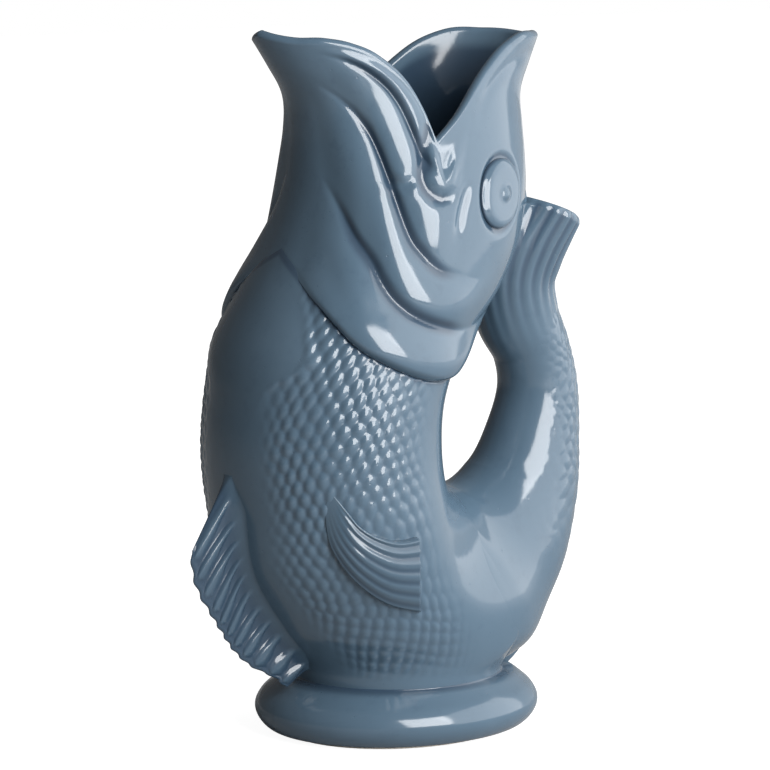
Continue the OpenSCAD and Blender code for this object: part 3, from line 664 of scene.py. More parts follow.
def make_piece(name, points, faces, depth, material, body="root", normals=None):
    """One mesh object from points in millimetres, lists of quads and triangles, and the pooling of
    the glaze at each point, which in places also carries painted shade. If its volume, the sum over
    its triangles of the dot product of one corner with the cross product of the others, is
    negative, its faces are turned round."""
    points = np.asarray(points, float)
    volume = 0.0
    for f in faces:
        for k in range(1, f.shape[1] - 1):
            a, b, c = points[f[:, 0]], points[f[:, k]], points[f[:, k + 1]]
            volume += np.einsum("ij,ij->", a, np.cross(b, c))
    turn = -1 if volume < 0 else 1
    loops = np.concatenate([f[:, ::turn].ravel() for f in faces])
    sizes = np.concatenate([np.full(len(f), f.shape[1]) for f in faces])
    starts = np.concatenate([[0], np.cumsum(sizes)[:-1]])
    mesh = bpy.data.meshes.new(name)
    mesh.vertices.add(len(points))
    mesh.vertices.foreach_set("co", (points * MM).astype(np.float32).ravel())
    mesh.loops.add(len(loops))
    mesh.loops.foreach_set("vertex_index", loops.astype(np.int32))
    mesh.polygons.add(len(sizes))
    mesh.polygons.foreach_set("loop_start", starts.astype(np.int32))
    mesh.polygons.foreach_set("use_smooth", np.ones(len(sizes), bool))
    mesh.update(calc_edges=True)
    mesh.validate()
    # the glaze's pooling, which in places also carries painted shade
    layer = mesh.attributes.new("glaze_pool_and_shade", "FLOAT", "POINT")
    layer.data.foreach_set("value", np.clip(depth, 0, 1).astype(np.float32).ravel())
    if normals is not None:
        mesh.normals_split_custom_set_from_vertices(normals)
    mesh.materials.append(material)
    obj = bpy.data.objects.new(name, mesh)
    bpy.context.scene.collection.objects.link(obj)
    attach(obj, body)
    return obj


def grid_faces(rows, cols, wrap_rows=False, wrap_cols=True):
    """Quads of a grid of points, which may close on itself in either direction."""
    r = np.arange(rows if wrap_rows else rows - 1)
    c = np.arange(cols if wrap_cols else cols - 1)
    r, c = np.meshgrid(r, c, indexing="ij")
    r1, c1 = (r + 1) % rows, (c + 1) % cols
    return np.stack([r * cols + c, r * cols + c1, r1 * cols + c1, r1 * cols + c], -1).reshape(-1, 4)


def fan_cap(first, cols, tip, turned):
    """Triangles from one closed ring of a grid to a point in its middle."""
    i = np.arange(cols)
    a, b = first + i, first + (i + 1) % cols
    tip = np.full(cols, tip)
    return np.stack([b, a, tip] if turned else [a, b, tip], -1)


def spread_angles(count):
    """Angles round the body, closer together on its two sides, where the scales show: a running
    sum of the spacing, mirrored, so that the front and the back each have a column."""
    half = count // 2
    t = (np.arange(half) + 0.5) * 180 / half
    p = np.concatenate([[0], np.cumsum(1.0 - 0.40 * window(t, 14, 16, 122, 16))])
    p = 180 * p / p[-1]
    return np.concatenate([180 - p[:0:-1], 180 + p[:-1]])


ANGS = spread_angles(COLS)


def ring_angles(count):
    """Even angles once round a ring, in degrees, as one row."""
    return np.arange(count)[None, :] * 360.0 / count


def unit_grid(rows, cols):
    """Two parameters of a patch from 0 to 1: one down its rows and one across its columns."""
    return np.linspace(0, 1, rows)[:, None], np.linspace(0, 1, cols)[None, :]


def trunk_piece(material):
    """The trunk's wall: outer skin with fillet, breast plate and scales, then the inner skin, as
    one closed loop of rows. Its top tucks in under the collar."""
    v = np.linspace(0, 1, TRUNK_ROWS)[:, None]
    p = from_spout(ANGS)[None, :]
    ang = ANGS[None, :] + 0 * v
    collar, front = line_z(COLLAR, p), collar_front(p)
    low, top = FOOT_H - TRUNK_UNDER, collar + TRUNK_OVER
    z = low + (top - low) * v
    place = lambda h: body_point(ang, z, foot_fade(z) * h)
    push = fillet_push(place, off_body, off_tail)
    far = near_other(place, off_body, off_tail, 0.5)
    plate, smooth = breast(p, z)
    bumps, pool = trunk_scales(p, z)
    tuck = front * past(z - collar, *TUCK_SIDE) + 0.6 * (1 - front) * past(z - collar, *TUCK_FRONT)
    relief = foot_fade(z) * (plate + push) + far * (1 - smooth) * bumps - TUCK_D * tuck
    w = np.linspace(1, 0, TRUNK_INNER_ROWS)[:, None]
    zi = FOOT_H + INNER_GAP + (top - FOOT_H - INNER_GAP) * w
    inner = -WALL + INNER_ROUND * past(w, 0.97, 0.03)
    inside = body_point(ANGS[None, :] + 0 * w, zi, inner)
    rows = np.concatenate([body_point(ang, z, relief), inside])
    # darker just under the collar's edge
    depth = far * (1 - smooth) * pool + 0.9 * past(z - top, *UNDER_COLLAR_DARK)
    # the inner wall is darkened as painted shade
    depth = np.concatenate([depth, INSIDE_PAINTED_SHADE + 0 * zi])
    faces = [grid_faces(len(rows), COLS, wrap_rows=True)]
    return make_piece("trunk_skin", rows.reshape(-1, 3), faces, depth, material)


def head_piece(material):
    """The head's wall: from under the collar's rounded edge up over the bands, round the lip and
    down the inside, as one closed loop of rows. The edge is a quarter circle, which is lost in
    front, where the head runs into the breast."""
    p = from_spout(ANGS)[None, :]
    collar, rim, front = line_z(COLLAR, p), rim_z(p), collar_front(p)
    neck = rim - WALL / 2
    edge_steps = np.linspace(0, EDGE_SHARE, EDGE_ROWS)[:-1]
    steps = np.concatenate([edge_steps, np.linspace(EDGE_SHARE, 1, HEAD_ROWS)])[:, None]
    z = collar + (neck - collar) * steps
    ang = ANGS[None, :] + 0 * steps
    place = lambda h: body_point(ang, z, h)
    push = fillet_push(place, off_body, off_tail)
    far = near_other(place, off_body, off_tail)
    relief, pool = head_relief(p, z)
    edge = 1 - front * (1 - quarter(1 - (z - collar) / EDGE_R))
    step = EDGE_STEP * front
    sunk = FRONT_SUNK * (1 - front) * (1 - past(z - collar, 0, FRONT_SUNK_H))
    out = far * (relief * soft((neck - z) / LIP_FADE) + step) * edge
    outer = body_point(ang, z, push + out + step * (1 - far) - step - sunk)
    turn = np.radians(np.linspace(0, 180, LIP_ROWS)[1:, None])
    back = push[-1] * (0.5 + 0.5 * np.cos(turn)) + WALL / 2 * (np.cos(turn) - 1)
    lip = body_point(ANGS[None, :] + 0 * turn, neck + 0 * turn, back)
    lip[..., 2] += WALL / 2 * np.sin(turn)
    w = np.linspace(0, 1, HEAD_INNER_ROWS)[1:, None]
    zi = neck + (collar + HEAD_UNDER - neck) * w
    inside = body_point(ANGS[None, :] + 0 * w, zi, -WALL)
    rows = np.concatenate([outer, lip, inside])
    # inside the mouth the glaze is darkened to its pooled colour as painted shade
    depth = np.concatenate([far * pool, 0 * (turn + p), soft(w / MOUTH_PAINTED_SHADE) + 0 * p])
    faces = [grid_faces(len(rows), COLS, wrap_rows=True)]
    return make_piece("head_skin", rows.reshape(-1, 3), faces, depth, material)


def tail_relief(s, ang):
    """Ribs round the fan, which grow towards its top and are weaker on the side of the head, and
    small soft scales on the outer side of the handle. Gives their height and the pooling."""
    side = np.cos(np.radians(ang))
    fan = past(s, *RIBS_GROW)
    rib = 0.5 - 0.5 * np.cos(np.radians(TAIL_RIBS * ang))
    ribs = RIB_H * (0.40 + 0.60 * past(side, -0.45, 0.8)) * fan * rib
    fade = past(side, -0.50, 0.75) * window(s, *TAIL_SCALES)
    wander = 0.16 * (np.sin(ang / 23.0 + s * 31.0) + np.sin(s * 57.0 - ang / 37.0))
    h = scales(ang / TAIL_SCALE_ANG + wander, s * TAIL_SCALE_ROWS + 0.8 * wander, 1.0)
    size = fade * (TAIL_SCALE_H + TAIL_SCALE_MORE * soft(s / 0.5))
    pool = 0.9 * fan * (1 - rib) + 0.4 * fade * (1 - h)
    return ribs + size * (h - 0.5), np.clip(pool, 0, 1)


def tail_surface():
    """The whole tail as rows of ovals along its line, pushed out onto the fillet, with its domed
    top. Close to the body the push is found by steps, and further off it is the fillet's parabola,
    the square of what is left of its reach; then it is smoothed. Gives the points, the pooling
    and the tip of the dome."""
    s, ang = np.linspace(0.0, 1.0, TAIL_GRID[0])[:, None], ring_angles(TAIL_GRID[1])
    ss, aa = s + 0 * ang, ang + 0 * s
    place = lambda h: tail_point(ss, aa, h)
    base = place(0.0)
    gap, k = off_body(base), fillet_at(base[..., 2])
    plain = k / 4 * (1 - np.clip(gap, 0, k) / k)**2
    near = soft((k - gap) / (0.4 * k))
    push = near * fillet_push(place, off_tail, off_body) + (1 - near) * plain
    push = push * foot_fade(base[..., 2])
    for _ in range(TAIL_SMOOTHINGS):
        push[1:-1] = push[:-2] / 4 + push[1:-1] / 2 + push[2:] / 4
        push = np.roll(push, 1, 1) / 4 + push / 2 + np.roll(push, -1, 1) / 4
    far = soft((gap - 0.20 * k) / (0.36 * k))
    relief, pool = tail_relief(ss, aa)
    body = place(push + far * relief)
    t = np.linspace(0, 1, 9)[1:, None]
    dx, dz = tail_dir(1.0)
    way = np.array([dx, 0, dz])
    edge = -WALL / 2 * (1 - np.sqrt(1 - (0.98 * t)**2)) + relief[-1] * (1 - t)
    rise = DOME_H * np.sin(t * np.pi / 2)
    ring = tail_point(1.0 + 0 * (t + ang), ang + 0 * t, edge) + rise[..., None] * way
    middle = ring[-1].mean(0)
    shrink = np.linspace(1, 0, 14)[1:-1, None, None]
    top = middle + (ring[-1] - middle) * shrink + TIP_H * (1 - shrink**2) * way
    plain_top = TIP_DEPTH + 0 * (shrink[..., 0] + ang)
    depth = np.concatenate([pool * far, pool[-1] * (1 - t), plain_top])
    return np.concatenate([body, ring, top]), depth, middle + TIP_H * way


def grid_normals(points):
    """Normals of a grid that closes round its columns: the cross product of its two slopes,
    turned away from the middle of each row."""
    along = np.gradient(points, axis=0)
    across = (np.roll(points, -1, 1) - np.roll(points, 1, 1)) / 2
    n = np.cross(across, along)
    out = np.sign(np.sum(n * (points - points.mean(1, keepdims=True)), -1).mean())
    return out * n / np.maximum(np.linalg.norm(n, axis=-1, keepdims=True), 1e-9)


def ring_piece(name, rings, depth, tips, tip_depth, material, normal=None):
    """A piece from closed rings of points, whose first and last ring each run to a tip."""
    rows, cols = rings.shape[:2]
    n = rows * cols
    points = np.concatenate([rings.reshape(-1, 3), np.array(tips)])
    caps = [fan_cap(0, cols, n, True), fan_cap(n - cols, cols, n + 1, False)]
    depth = np.concatenate([depth.ravel(), tip_depth])
    if normal is not None:
        normal = np.concatenate([normal.reshape(-1, 3), [[0, 0, -1.0], [0, 0, 1.0]]])
    faces = [grid_faces(rows, cols), *caps]
    return make_piece(name, points, faces, depth, material, normals=normal)


def tail_pieces(material):
    """The tail's handle and its fan, cut from one surface at the place where the fan starts, with
    the normals of the whole, so that they meet unseen."""
    points, depth, tip = tail_surface()
    normal = grid_normals(points)
    cut = int(round(FAN_START * (TAIL_GRID[0] - 1)))
    seam = points[cut].mean(0)
    handle = ring_piece("tail_handle_skin", points[:cut + 1], depth[:cut + 1],
                        [points[0].mean(0), seam], [0, 0], material, normal[:cut + 1])
    fan = ring_piece("tail_fan_skin", points[cut:], depth[cut:], [seam, tip], [0, TIP_DEPTH],
                     material, normal[cut:])
    return handle, fan


def foot_ring(ang, inset, z):
    """Points of the foot's oval moved in by inset, at a height."""
    x, y = oval_point(0.0, FOOT_L / 2, FOOT_W / 2, ang, -inset)
    return np.stack([x, y, z + 0 * x], -1)


def foot_piece(material):
    """The foot: its flared profile, as a smooth line through the table, carried round the oval and
    on to the neck by a Hermite cubic, then the dished floor of the jug inside. The hollow over the
    bare ring closes it below."""
    ang = ring_angles(FOOT_COLS)
    table = np.column_stack([np.linspace(0, 1, len(FOOT)), FOOT])
    s = np.linspace(0, 1, FOOT_ROWS)[:, None]
    outer = foot_ring(ang, FOOT_LIFT * curve(table, s, 1), FOOT_H * curve(table, s, 2))
    neck = body_point(ang, np.array([[FOOT_H]]), NECK_OUT)
    k = np.linspace(0, 1, NECK_ROWS)[1:, None, None]
    leaving = (outer[-1] - outer[-2]) * NECK_PULL
    join = hermite(k, outer[-1], leaving, neck, np.array([0, 0, NECK_RISE]))
    w = np.linspace(0, 1, 12)[:, None]
    mid, half_x, half_y = body_oval(np.array(FOOT_H))
    floor_z, bowl_z = FOOT_H / 2 + FLOOR_T, FOOT_H + BOWL_OVER
    x, y = oval_point(mid, half_x, half_y, ang, -WALL - WALL * soft(w))
    bowl = np.stack([x, y, bowl_z - (bowl_z - floor_z) * w**1.6 + 0 * x], -1)
    centre = np.array([mid, 0, floor_z])
    floor = centre + (bowl[-1] - centre) * np.linspace(1, 0, 16)[1:-1, None, None]
    inset, roof_z = FOOT_LIFT * FOOT[0, 0] + BARE_W, FOOT_H / 2 - 1.0
    roof = foot_ring(ang, inset + ROOF_IN, roof_z)
    base = foot_ring(ang, inset, BARE_H)
    rings = np.concatenate([roof, base, outer, join, bowl, floor])
    level = rings[..., 2]
    depth = 0.9 * bell(level - FOOT_H, 1.6) + 0.5 * bell(level - BARE_H, 1.2)
    return ring_piece("foot_skin", rings, depth, [[0, 0, roof_z], centre], [0.5, 0.5], material)


def closed_patch(name, under, over, depth, material):
    """A closed thin body between two grids of the same size, joined round their edges."""
    rows, cols = over.shape[:2]
    n = rows * cols
    idx = np.arange(n).reshape(rows, cols)
    edge = np.concatenate([idx[0, :-1], idx[:-1, -1], idx[-1, :0:-1], idx[:0:-1, 0]])
    after = np.roll(edge, -1)
    skirt = np.stack([edge, after, after + n, edge + n], -1)
    top = grid_faces(rows, cols, wrap_cols=False)
    points = np.concatenate([over.reshape(-1, 3), under.reshape(-1, 3)])
    depth = np.concatenate([depth.ravel(), depth.ravel()])
    return make_piece(name, points, [top[:, ::-1], top + n, skirt], depth, material)


def front_fin_piece(material):
    """The front fin: a blade in the middle plane. Its half thickness falls towards the tip, and
    its root leaves the body's side by a quadratic curve. It carries a convex rib for each ray,
    narrow at the root, widest past the middle and closed in a round end before the scalloped
    border."""
    u, v = unit_grid(*FRONT_GRID)
    root_z = JUG_H * curve(FRONT_FIN, u, 1)
    off_ray = np.abs(np.mod(FRONT_RAYS * u, 1.0) - 0.5) * 2
    wide = (0.30 + 0.70 * past(v, 0.10, 0.55)) * np.maximum(quarter((v - 0.80) / 0.13), 0.01)
    ray = (0.5 + 0.5 * np.cos(np.pi * np.clip(off_ray / wide, 0, 1)))**0.8 * past(v, 0.12, 0.25)
    bay = 0.5 - 0.5 * np.cos(2 * np.pi * FRONT_RAYS * u)
    tip_x = FRONT_TIP_IN - FRONT_REACH * curve(FRONT_FIN, u, 2) - RAY_H * bay
    tip_z = JUG_H * curve(FRONT_FIN, u, 3)
    ends = np.minimum(u, 1 - u)
    round_ends = np.sqrt(1 - 0.99 * (1 - np.clip(ends / 0.09, 0, 1))**2)
    edge = np.sqrt(np.maximum(0, 1 - v**6)) * round_ends
    between = (1 - ray) * past(v, 0.12, 0.28) * (1 - 0.45 * past(v, 0.90, 0.06))
    half = FRONT_FIN_T / 2 * (1 - FRONT_THIN * v) * edge
    turn = 180 - FRONT_SIDE - FRONT_TURN * soft(ends / 0.12)
    skin = body_point(turn, root_z, SKIN_IN)
    slope = body_point(turn + 0.5, root_z, SKIN_IN) - body_point(turn - 0.5, root_z, SKIN_IN)
    skin_x, skin_y, root_half = skin[..., 0], skin[..., 1], half[:, :1]
    root_x = skin_x + slope[..., 0] / slope[..., 1] * (root_half - skin_y)
    x = root_x + (tip_x - root_x) * v
    z = root_z + (tip_z - root_z) * v
    t = np.clip(v / FRONT_BLEND, 0, 1)
    mid_x = root_x + (tip_x - root_x) * FRONT_BLEND
    mid_z = root_z + (tip_z - root_z) * FRONT_BLEND
    mid_half = FRONT_FIN_T / 2 * (1 - FRONT_THIN * FRONT_BLEND) * round_ends
    low = v < FRONT_BLEND
    x = np.where(low, (1 - t)**2 * skin_x + 2 * t * (1 - t) * root_x + t**2 * mid_x, x)
    z = np.where(low, (1 - t**2) * root_z + t**2 * mid_z, z)
    y = np.where(low, (1 - t)**2 * skin_y + 2 * t * (1 - t) * root_half + t**2 * mid_half, half)
    y = np.maximum(y - edge * (1.25 - 0.35 * v) * between, THINNEST)
    right, left = np.stack([x, -y, z], -1), np.stack([x, y, z], -1)
    # the fin's colour is partly glaze pooling between the rays and partly painted shade: the whole
    # fin is darkened a little, and the gaps between its rays more
    return closed_patch("front_fin_skin", left, right, 0.35 + 0.65 * between, material)


def rear_fin_piece(material):
    """The rear fin: a small blade under the tail, leaning back, with a convex rib for each ray.
    Its root is sunk in the tail, and its reach is measured from the fillet's skin."""
    u, v = unit_grid(*REAR_GRID)
    s = REAR_FIN[0, 0] + (REAR_FIN[-1, 0] - REAR_FIN[0, 0]) * u
    reach = TAIL_D * curve(REAR_FIN, s)
    root = tail_point(s, 0 * s, -REAR_SUNK)
    base = tail_point(s, 0 * s, 0.0)
    k = fillet_at(base[..., 2])
    fillet = k / 4 * np.clip(1 - np.maximum(0, off_body(base)) / k, 0, 1)**2
    skin = tail_point(s, 0 * s, SEAT_GAP + fillet)
    ray = np.sin(np.pi * np.mod(REAR_RAYS * u, 1.0)) ** 0.7
    groove = (1 - ray) * window(v, 0, 0.3, 0.8, 0.15)
    y = REAR_FIN_T / 2 * (1 - 0.4 * v) * np.sqrt(np.maximum(0.02, 1 - v**4)) - 0.5 * groove
    y = np.maximum(y, THINNEST)
    x = root[..., 0] + (skin[..., 0] + reach - root[..., 0]) * v
    z = root[..., 2] + (skin[..., 2] - reach * REAR_LEAN - root[..., 2]) * v
    left, right = np.stack([x, y, z], -1), np.stack([x, -y, z], -1)
    return closed_patch("rear_fin_skin", left, right, (1 - ray) * soft(v / 0.3), material)


def side_fin_piece(name, side, material):
    """A side fin laid on the trunk: rays run along it from its point as a cosine across it, its
    upper edge is two rolled ridges, each a bell, and its other edges are quarter circles. side is
    -1 on the right and 1 on the left."""
    u, v = unit_grid(*SIDE_GRID)
    p = curve(SIDE_FIN, u, 1) * (1 - v) + curve(SIDE_FIN, u, 3) * v
    z = JUG_H * (curve(SIDE_FIN, u, 2) * (1 - v) + curve(SIDE_FIN, u, 4) * v)
    ray = 0.5 + 0.5 * np.cos(2 * np.pi * SIDE_RAYS * v)
    rolled = bell(v - 0.035, 0.035) + 0.8 * bell(v - 0.165, 0.045)
    low = past(v, 0.20, 0.1)
    body = SIDE_FIN_T * (0.02 + 0.98 * soft(u / 0.55)) * (0.46 + 0.54 * np.sin(np.pi * v) ** 0.7)
    ridges = RAY_H * (0.95 * (rolled - 0.7) * (1 - low) - 0.34 * (1 - ray) * low)
    h = body + ridges * past(u, 0.05, 0.5)
    h = h * quarter((u - 0.975) / 0.025) * quarter((v - 0.965) / 0.035) * quarter((0.03 - v) / 0.03)
    place = lambda off: body_point(180.0 + p, z, off)
    skin = fillet_push(place, off_body, off_tail)
    over = place(skin + 0.4 * soft(u / 0.3) - 0.1 + h)
    under = place(skin - SIDE_SUNK)
    for grid in (over, under):
        grid[..., 1] *= -side
    depth = 0.7 * (low * (1 - ray) + (1 - low) * (1 - np.clip(rolled, 0, 1))) * soft(u / 0.4)
    return closed_patch(name, under, over, depth, material)


def eye_piece(name, side, material):
    """An eye: a round patch of rings on the head, whose height over it follows a table, a raised
    ring round a shallow hollow with a small pupil. Its rings are closed in the middle of both
    faces. side is -1 on the right and 1 on the left."""
    rows, cols = EYE_GRID
    half_x, half_y = body_oval(np.array(EYE_Z))[1:]
    turn = np.radians(EYE_ANG)
    per_mm = 180 / np.pi / np.hypot(half_x * np.sin(turn), half_y * np.cos(turn))
    r = np.linspace(0.01, 1, rows)[:, None] * EYE_R
    a = np.radians(ring_angles(cols))
    p, z = EYE_ANG + per_mm * r * np.cos(a), EYE_Z + r * np.sin(a)
    skin = head_relief(p, z)[0] + eye_groove(r)
    place = lambda off: body_point(180.0 + p, z, off)
    over = place(skin + EYE_LIFT + curve(EYE_RINGS, r / EYE_R))
    under = place(-EYE_SUNK)
    tips = [over[0].mean(0), under[0].mean(0)]
    points = np.concatenate([over.reshape(-1, 3), under.reshape(-1, 3), tips])
    points[:, 1] *= -side
    n = rows * cols
    edge = n - cols + np.arange(cols)
    after = np.roll(edge, -1)
    top = grid_faces(rows, cols)
    skirt = np.stack([edge, after, n + after, n + edge], -1)
    caps = [fan_cap(0, cols, 2 * n, True), fan_cap(n, cols, 2 * n + 1, False)]
    pool = 0.3 * bell(r / EYE_R - 0.27, 0.09) + 0.8 * past(r / EYE_R, 0.92, 0.08) + 0 * a
    depth = np.concatenate([pool.ravel(), pool.ravel(), [0, 0]])
    return make_piece(name, points, [top, top[:, ::-1] + n, skirt, *caps], depth, material)


def socket(group, name, kind, way, value=None):
    """A named input or output of a node group."""
    s = group.interface.new_socket(name=name, socket_type=kind, in_out=way)
    if value is not None:
        s.default_value = value
    return s


def math_node(tree, op, a, b=None, clamp=False):
    """A Math node on links or plain values; gives its output."""
    n = tree.nodes.new("ShaderNodeMath")
    n.operation, n.use_clamp = op, clamp
    for i, v in enumerate((a, b)):
        if v is None:
            continue
        if isinstance(v, (int, float)):
            n.inputs[i].default_value = v
        else:
            tree.links.new(v, n.inputs[i])
    return n.outputs[0]


def mix_colour(tree, factor, a, b, how="MIX"):
    """A Mix node on colours; gives its output."""
    n = tree.nodes.new("ShaderNodeMix")
    n.data_type, n.blend_type = "RGBA", how
    for i, v in zip((0, 6, 7), (factor, a, b)):
        if isinstance(v, (int, float, tuple)):
            n.inputs[i].default_value = v
        else:
            tree.links.new(v, n.inputs[i])
    return n.outputs[2]


def noise(tree, place, scale, detail=3.0, rough=0.5):
    """Noise of a given scale at the object's own coordinates; gives its value."""
    n = tree.nodes.new("ShaderNodeTexNoise")
    n.inputs["Scale"].default_value = scale
    n.inputs["Detail"].default_value = detail
    n.inputs["Roughness"].default_value = rough
    tree.links.new(place, n.inputs["Vector"])
    return n.outputs["Fac"]


def ramp(tree, value, low, high):
    """Smooth 0 to 1 between two values."""
    n = tree.nodes.new("ShaderNodeMapRange")
    n.interpolation_type = "SMOOTHSTEP"
    n.inputs["From Min"].default_value = low
    n.inputs["From Max"].default_value = high
    tree.links.new(value, n.inputs["Value"])
    return n.outputs["Result"]


def object_place(tree):
    """The place on the object, in metres, as every pattern reads it."""
    return tree.nodes.new("ShaderNodeTexCoord").outputs["Object"]


def cells(tree, place, scale):
    """Distance from the nearest of many scattered points."""
    n = tree.nodes.new("ShaderNodeTexVoronoi")
    n.inputs["Scale"].default_value = scale
    tree.links.new(place, n.inputs["Vector"])
    return n.outputs["Distance"]


def toward(tree, vector, way):
    """Dot product of a vector with a fixed way: how far it points or lies that way."""
    n = tree.nodes.new("ShaderNodeVectorMath")
    n.operation = "DOT_PRODUCT"
    tree.links.new(vector, n.inputs[0])
    n.inputs[1].default_value = way
    return n.outputs["Value"]


def bump_skin(tree, height, strength, distance):
    """A Bump node on a height, into the material's shader."""
    n = tree.nodes.new("ShaderNodeBump")
    n.inputs["Strength"].default_value = strength
    n.inputs["Distance"].default_value = distance
    tree.links.new(height, n.inputs["Height"])
    tree.links.new(n.outputs["Normal"], tree.nodes["Principled BSDF"].inputs["Normal"])


def new_material(name):
    """A material with its node tree and its Principled shader."""
    m = bpy.data.materials.new(name)
    m.use_nodes = True
    return m, m.node_tree, m.node_tree.nodes["Principled BSDF"]


def glaze_tone_group():
    """Node group: the glaze's colour and roughness. The colour darkens by its pooling input, where
    the glaze pools and, inside the jug and on the front fin, as painted shade; it pales in slow
    clouds, and fine mottling and sparse specks darken it again. The clouds and the mottling make it
    a little rougher."""
    g = bpy.data.node_groups.new("glaze_tone", "ShaderNodeTree")
    for name in ("Glaze", "Pooled", "Thin"):
        socket(g, name, "NodeSocketColor", "INPUT")
    for name, value in (("Depth", 0.3), ("Specks", 0.3), ("Rough", 0.1)):
        socket(g, name, "NodeSocketFloat", "INPUT", value)
    socket(g, "Color", "NodeSocketColor", "OUTPUT")
    socket(g, "Roughness", "NodeSocketFloat", "OUTPUT")
    i = g.nodes.new("NodeGroupInput").outputs
    o = g.nodes.new("NodeGroupOutput").inputs
    at = object_place(g)
    cloud, fine = noise(g, at, CLOUDS, 4.0, 0.55), noise(g, at, MOTTLING, 3.0, 0.6)
    c = mix_colour(g, ramp(g, i["Depth"], 0.15, 0.95), i["Glaze"], i["Pooled"])
    pale = math_node(g, "MULTIPLY", ramp(g, cloud, 0.50, 0.78), CLOUD_SHARE)
    c = mix_colour(g, pale, c, i["Thin"])
    dark = math_node(g, "MULTIPLY", ramp(g, fine, 0.52, 0.80), MOTTLING_SHARE)
    c = mix_colour(g, dark, c, i["Pooled"])
    speck = ramp(g, cells(g, at, SPECK_CELLS), 0.16, 0.07)
    sparse = ramp(g, noise(g, at, SPECK_PATCHES, 2.0), 0.55, 0.62)
    speck = math_node(g, "MULTIPLY", math_node(g, "MULTIPLY", speck, sparse), i["Specks"])
    g.links.new(mix_colour(g, speck, c, i["Pooled"]), o["Color"])
    rough = math_node(g, "MULTIPLY", ramp(g, cloud, 0.35, 0.75), CLOUD_ROUGH)
    rough = math_node(g, "ADD", i["Rough"], rough)
    fine_rough = math_node(g, "MULTIPLY", fine, MOTTLING_ROUGH)
    g.links.new(math_node(g, "ADD", rough, fine_rough), o["Roughness"])
    return g


def glaze_skin_group():
    """Node group: the height of the glaze's own skin, a slow waviness, a fine orange peel and a
    few pinholes."""
    g = bpy.data.node_groups.new("glaze_skin", "ShaderNodeTree")
    socket(g, "Wave", "NodeSocketFloat", "INPUT", 1.0)
    socket(g, "Peel", "NodeSocketFloat", "INPUT", 1.0)
    socket(g, "Height", "NodeSocketFloat", "OUTPUT")
    i = g.nodes.new("NodeGroupInput").outputs
    o = g.nodes.new("NodeGroupOutput").inputs
    at = object_place(g)
    wave = math_node(g, "MULTIPLY", noise(g, at, WAVES, 2.0), i["Wave"])
    peel = math_node(g, "MULTIPLY", noise(g, at, PEEL_GRAIN, 2.0), i["Peel"])
    pit = math_node(g, "MULTIPLY", ramp(g, cells(g, at, PINHOLES), 0.06, 0.02), -PINHOLE_D)
    total = math_node(g, "ADD", wave, math_node(g, "MULTIPLY", peel, PEEL_SHARE))
    g.links.new(math_node(g, "ADD", total, pit), o["Height"])
    return g


TONE = glaze_tone_group()
SKIN = glaze_skin_group()


def glaze_material(name, glaze, pooled, thin, rough=0.10, wave=1.0, peel=1.0, specks=0.3):
    """A gloss glaze over clay: the shared tone and skin groups with this part's own values."""
    m, t, shader = new_material(name)
    tone, skin = t.nodes.new("ShaderNodeGroup"), t.nodes.new("ShaderNodeGroup")
    tone.node_tree, skin.node_tree = TONE, SKIN
    depth = t.nodes.new("ShaderNodeAttribute")
    depth.attribute_name = "glaze_pool_and_shade"
    t.links.new(depth.outputs["Fac"], tone.inputs["Depth"])
    for key, value in (("Glaze", glaze), ("Pooled", pooled), ("Thin", thin)):
        tone.inputs[key].default_value = (*value, 1)
    for group, key, value in ((tone, "Specks", specks), (tone, "Rough", rough),
                              (skin, "Wave", wave), (skin, "Peel", peel)):
        group.inputs[key].default_value = value
    bump_skin(t, skin.outputs["Height"], 0.35, GLAZE_BUMP)
    t.links.new(tone.outputs["Color"], shader.inputs["Base Color"])
    t.links.new(tone.outputs["Roughness"], shader.inputs["Roughness"])
    shader.inputs["IOR"].default_value = GLAZE_IOR
    return m


def clay_material():
    """Bare fired clay: pale buff, grainy, darker where it has stood on tables."""
    m, t, shader = new_material("bare_clay")
    at = object_place(t)
    grain, cloud = noise(t, at, CLAY_GRAIN, 4.0, 0.7), noise(t, at, CLAY_CLOUDS, 3.0)
    c = mix_colour(t, ramp(t, grain, 0.35, 0.7), CLAY_BUFF, CLAY_PALE)
    worn = math_node(t, "MULTIPLY", ramp(t, cloud, 0.5, 0.75), 0.35)
    t.links.new(mix_colour(t, worn, c, CLAY_WORN), shader.inputs["Base Color"])
    rough = math_node(t, "ADD", math_node(t, "MULTIPLY", cloud, 0.15), CLAY_ROUGH)
    t.links.new(rough, shader.inputs["Roughness"])
    bump_skin(t, grain, 0.5, CLAY_BUMP)
    return m


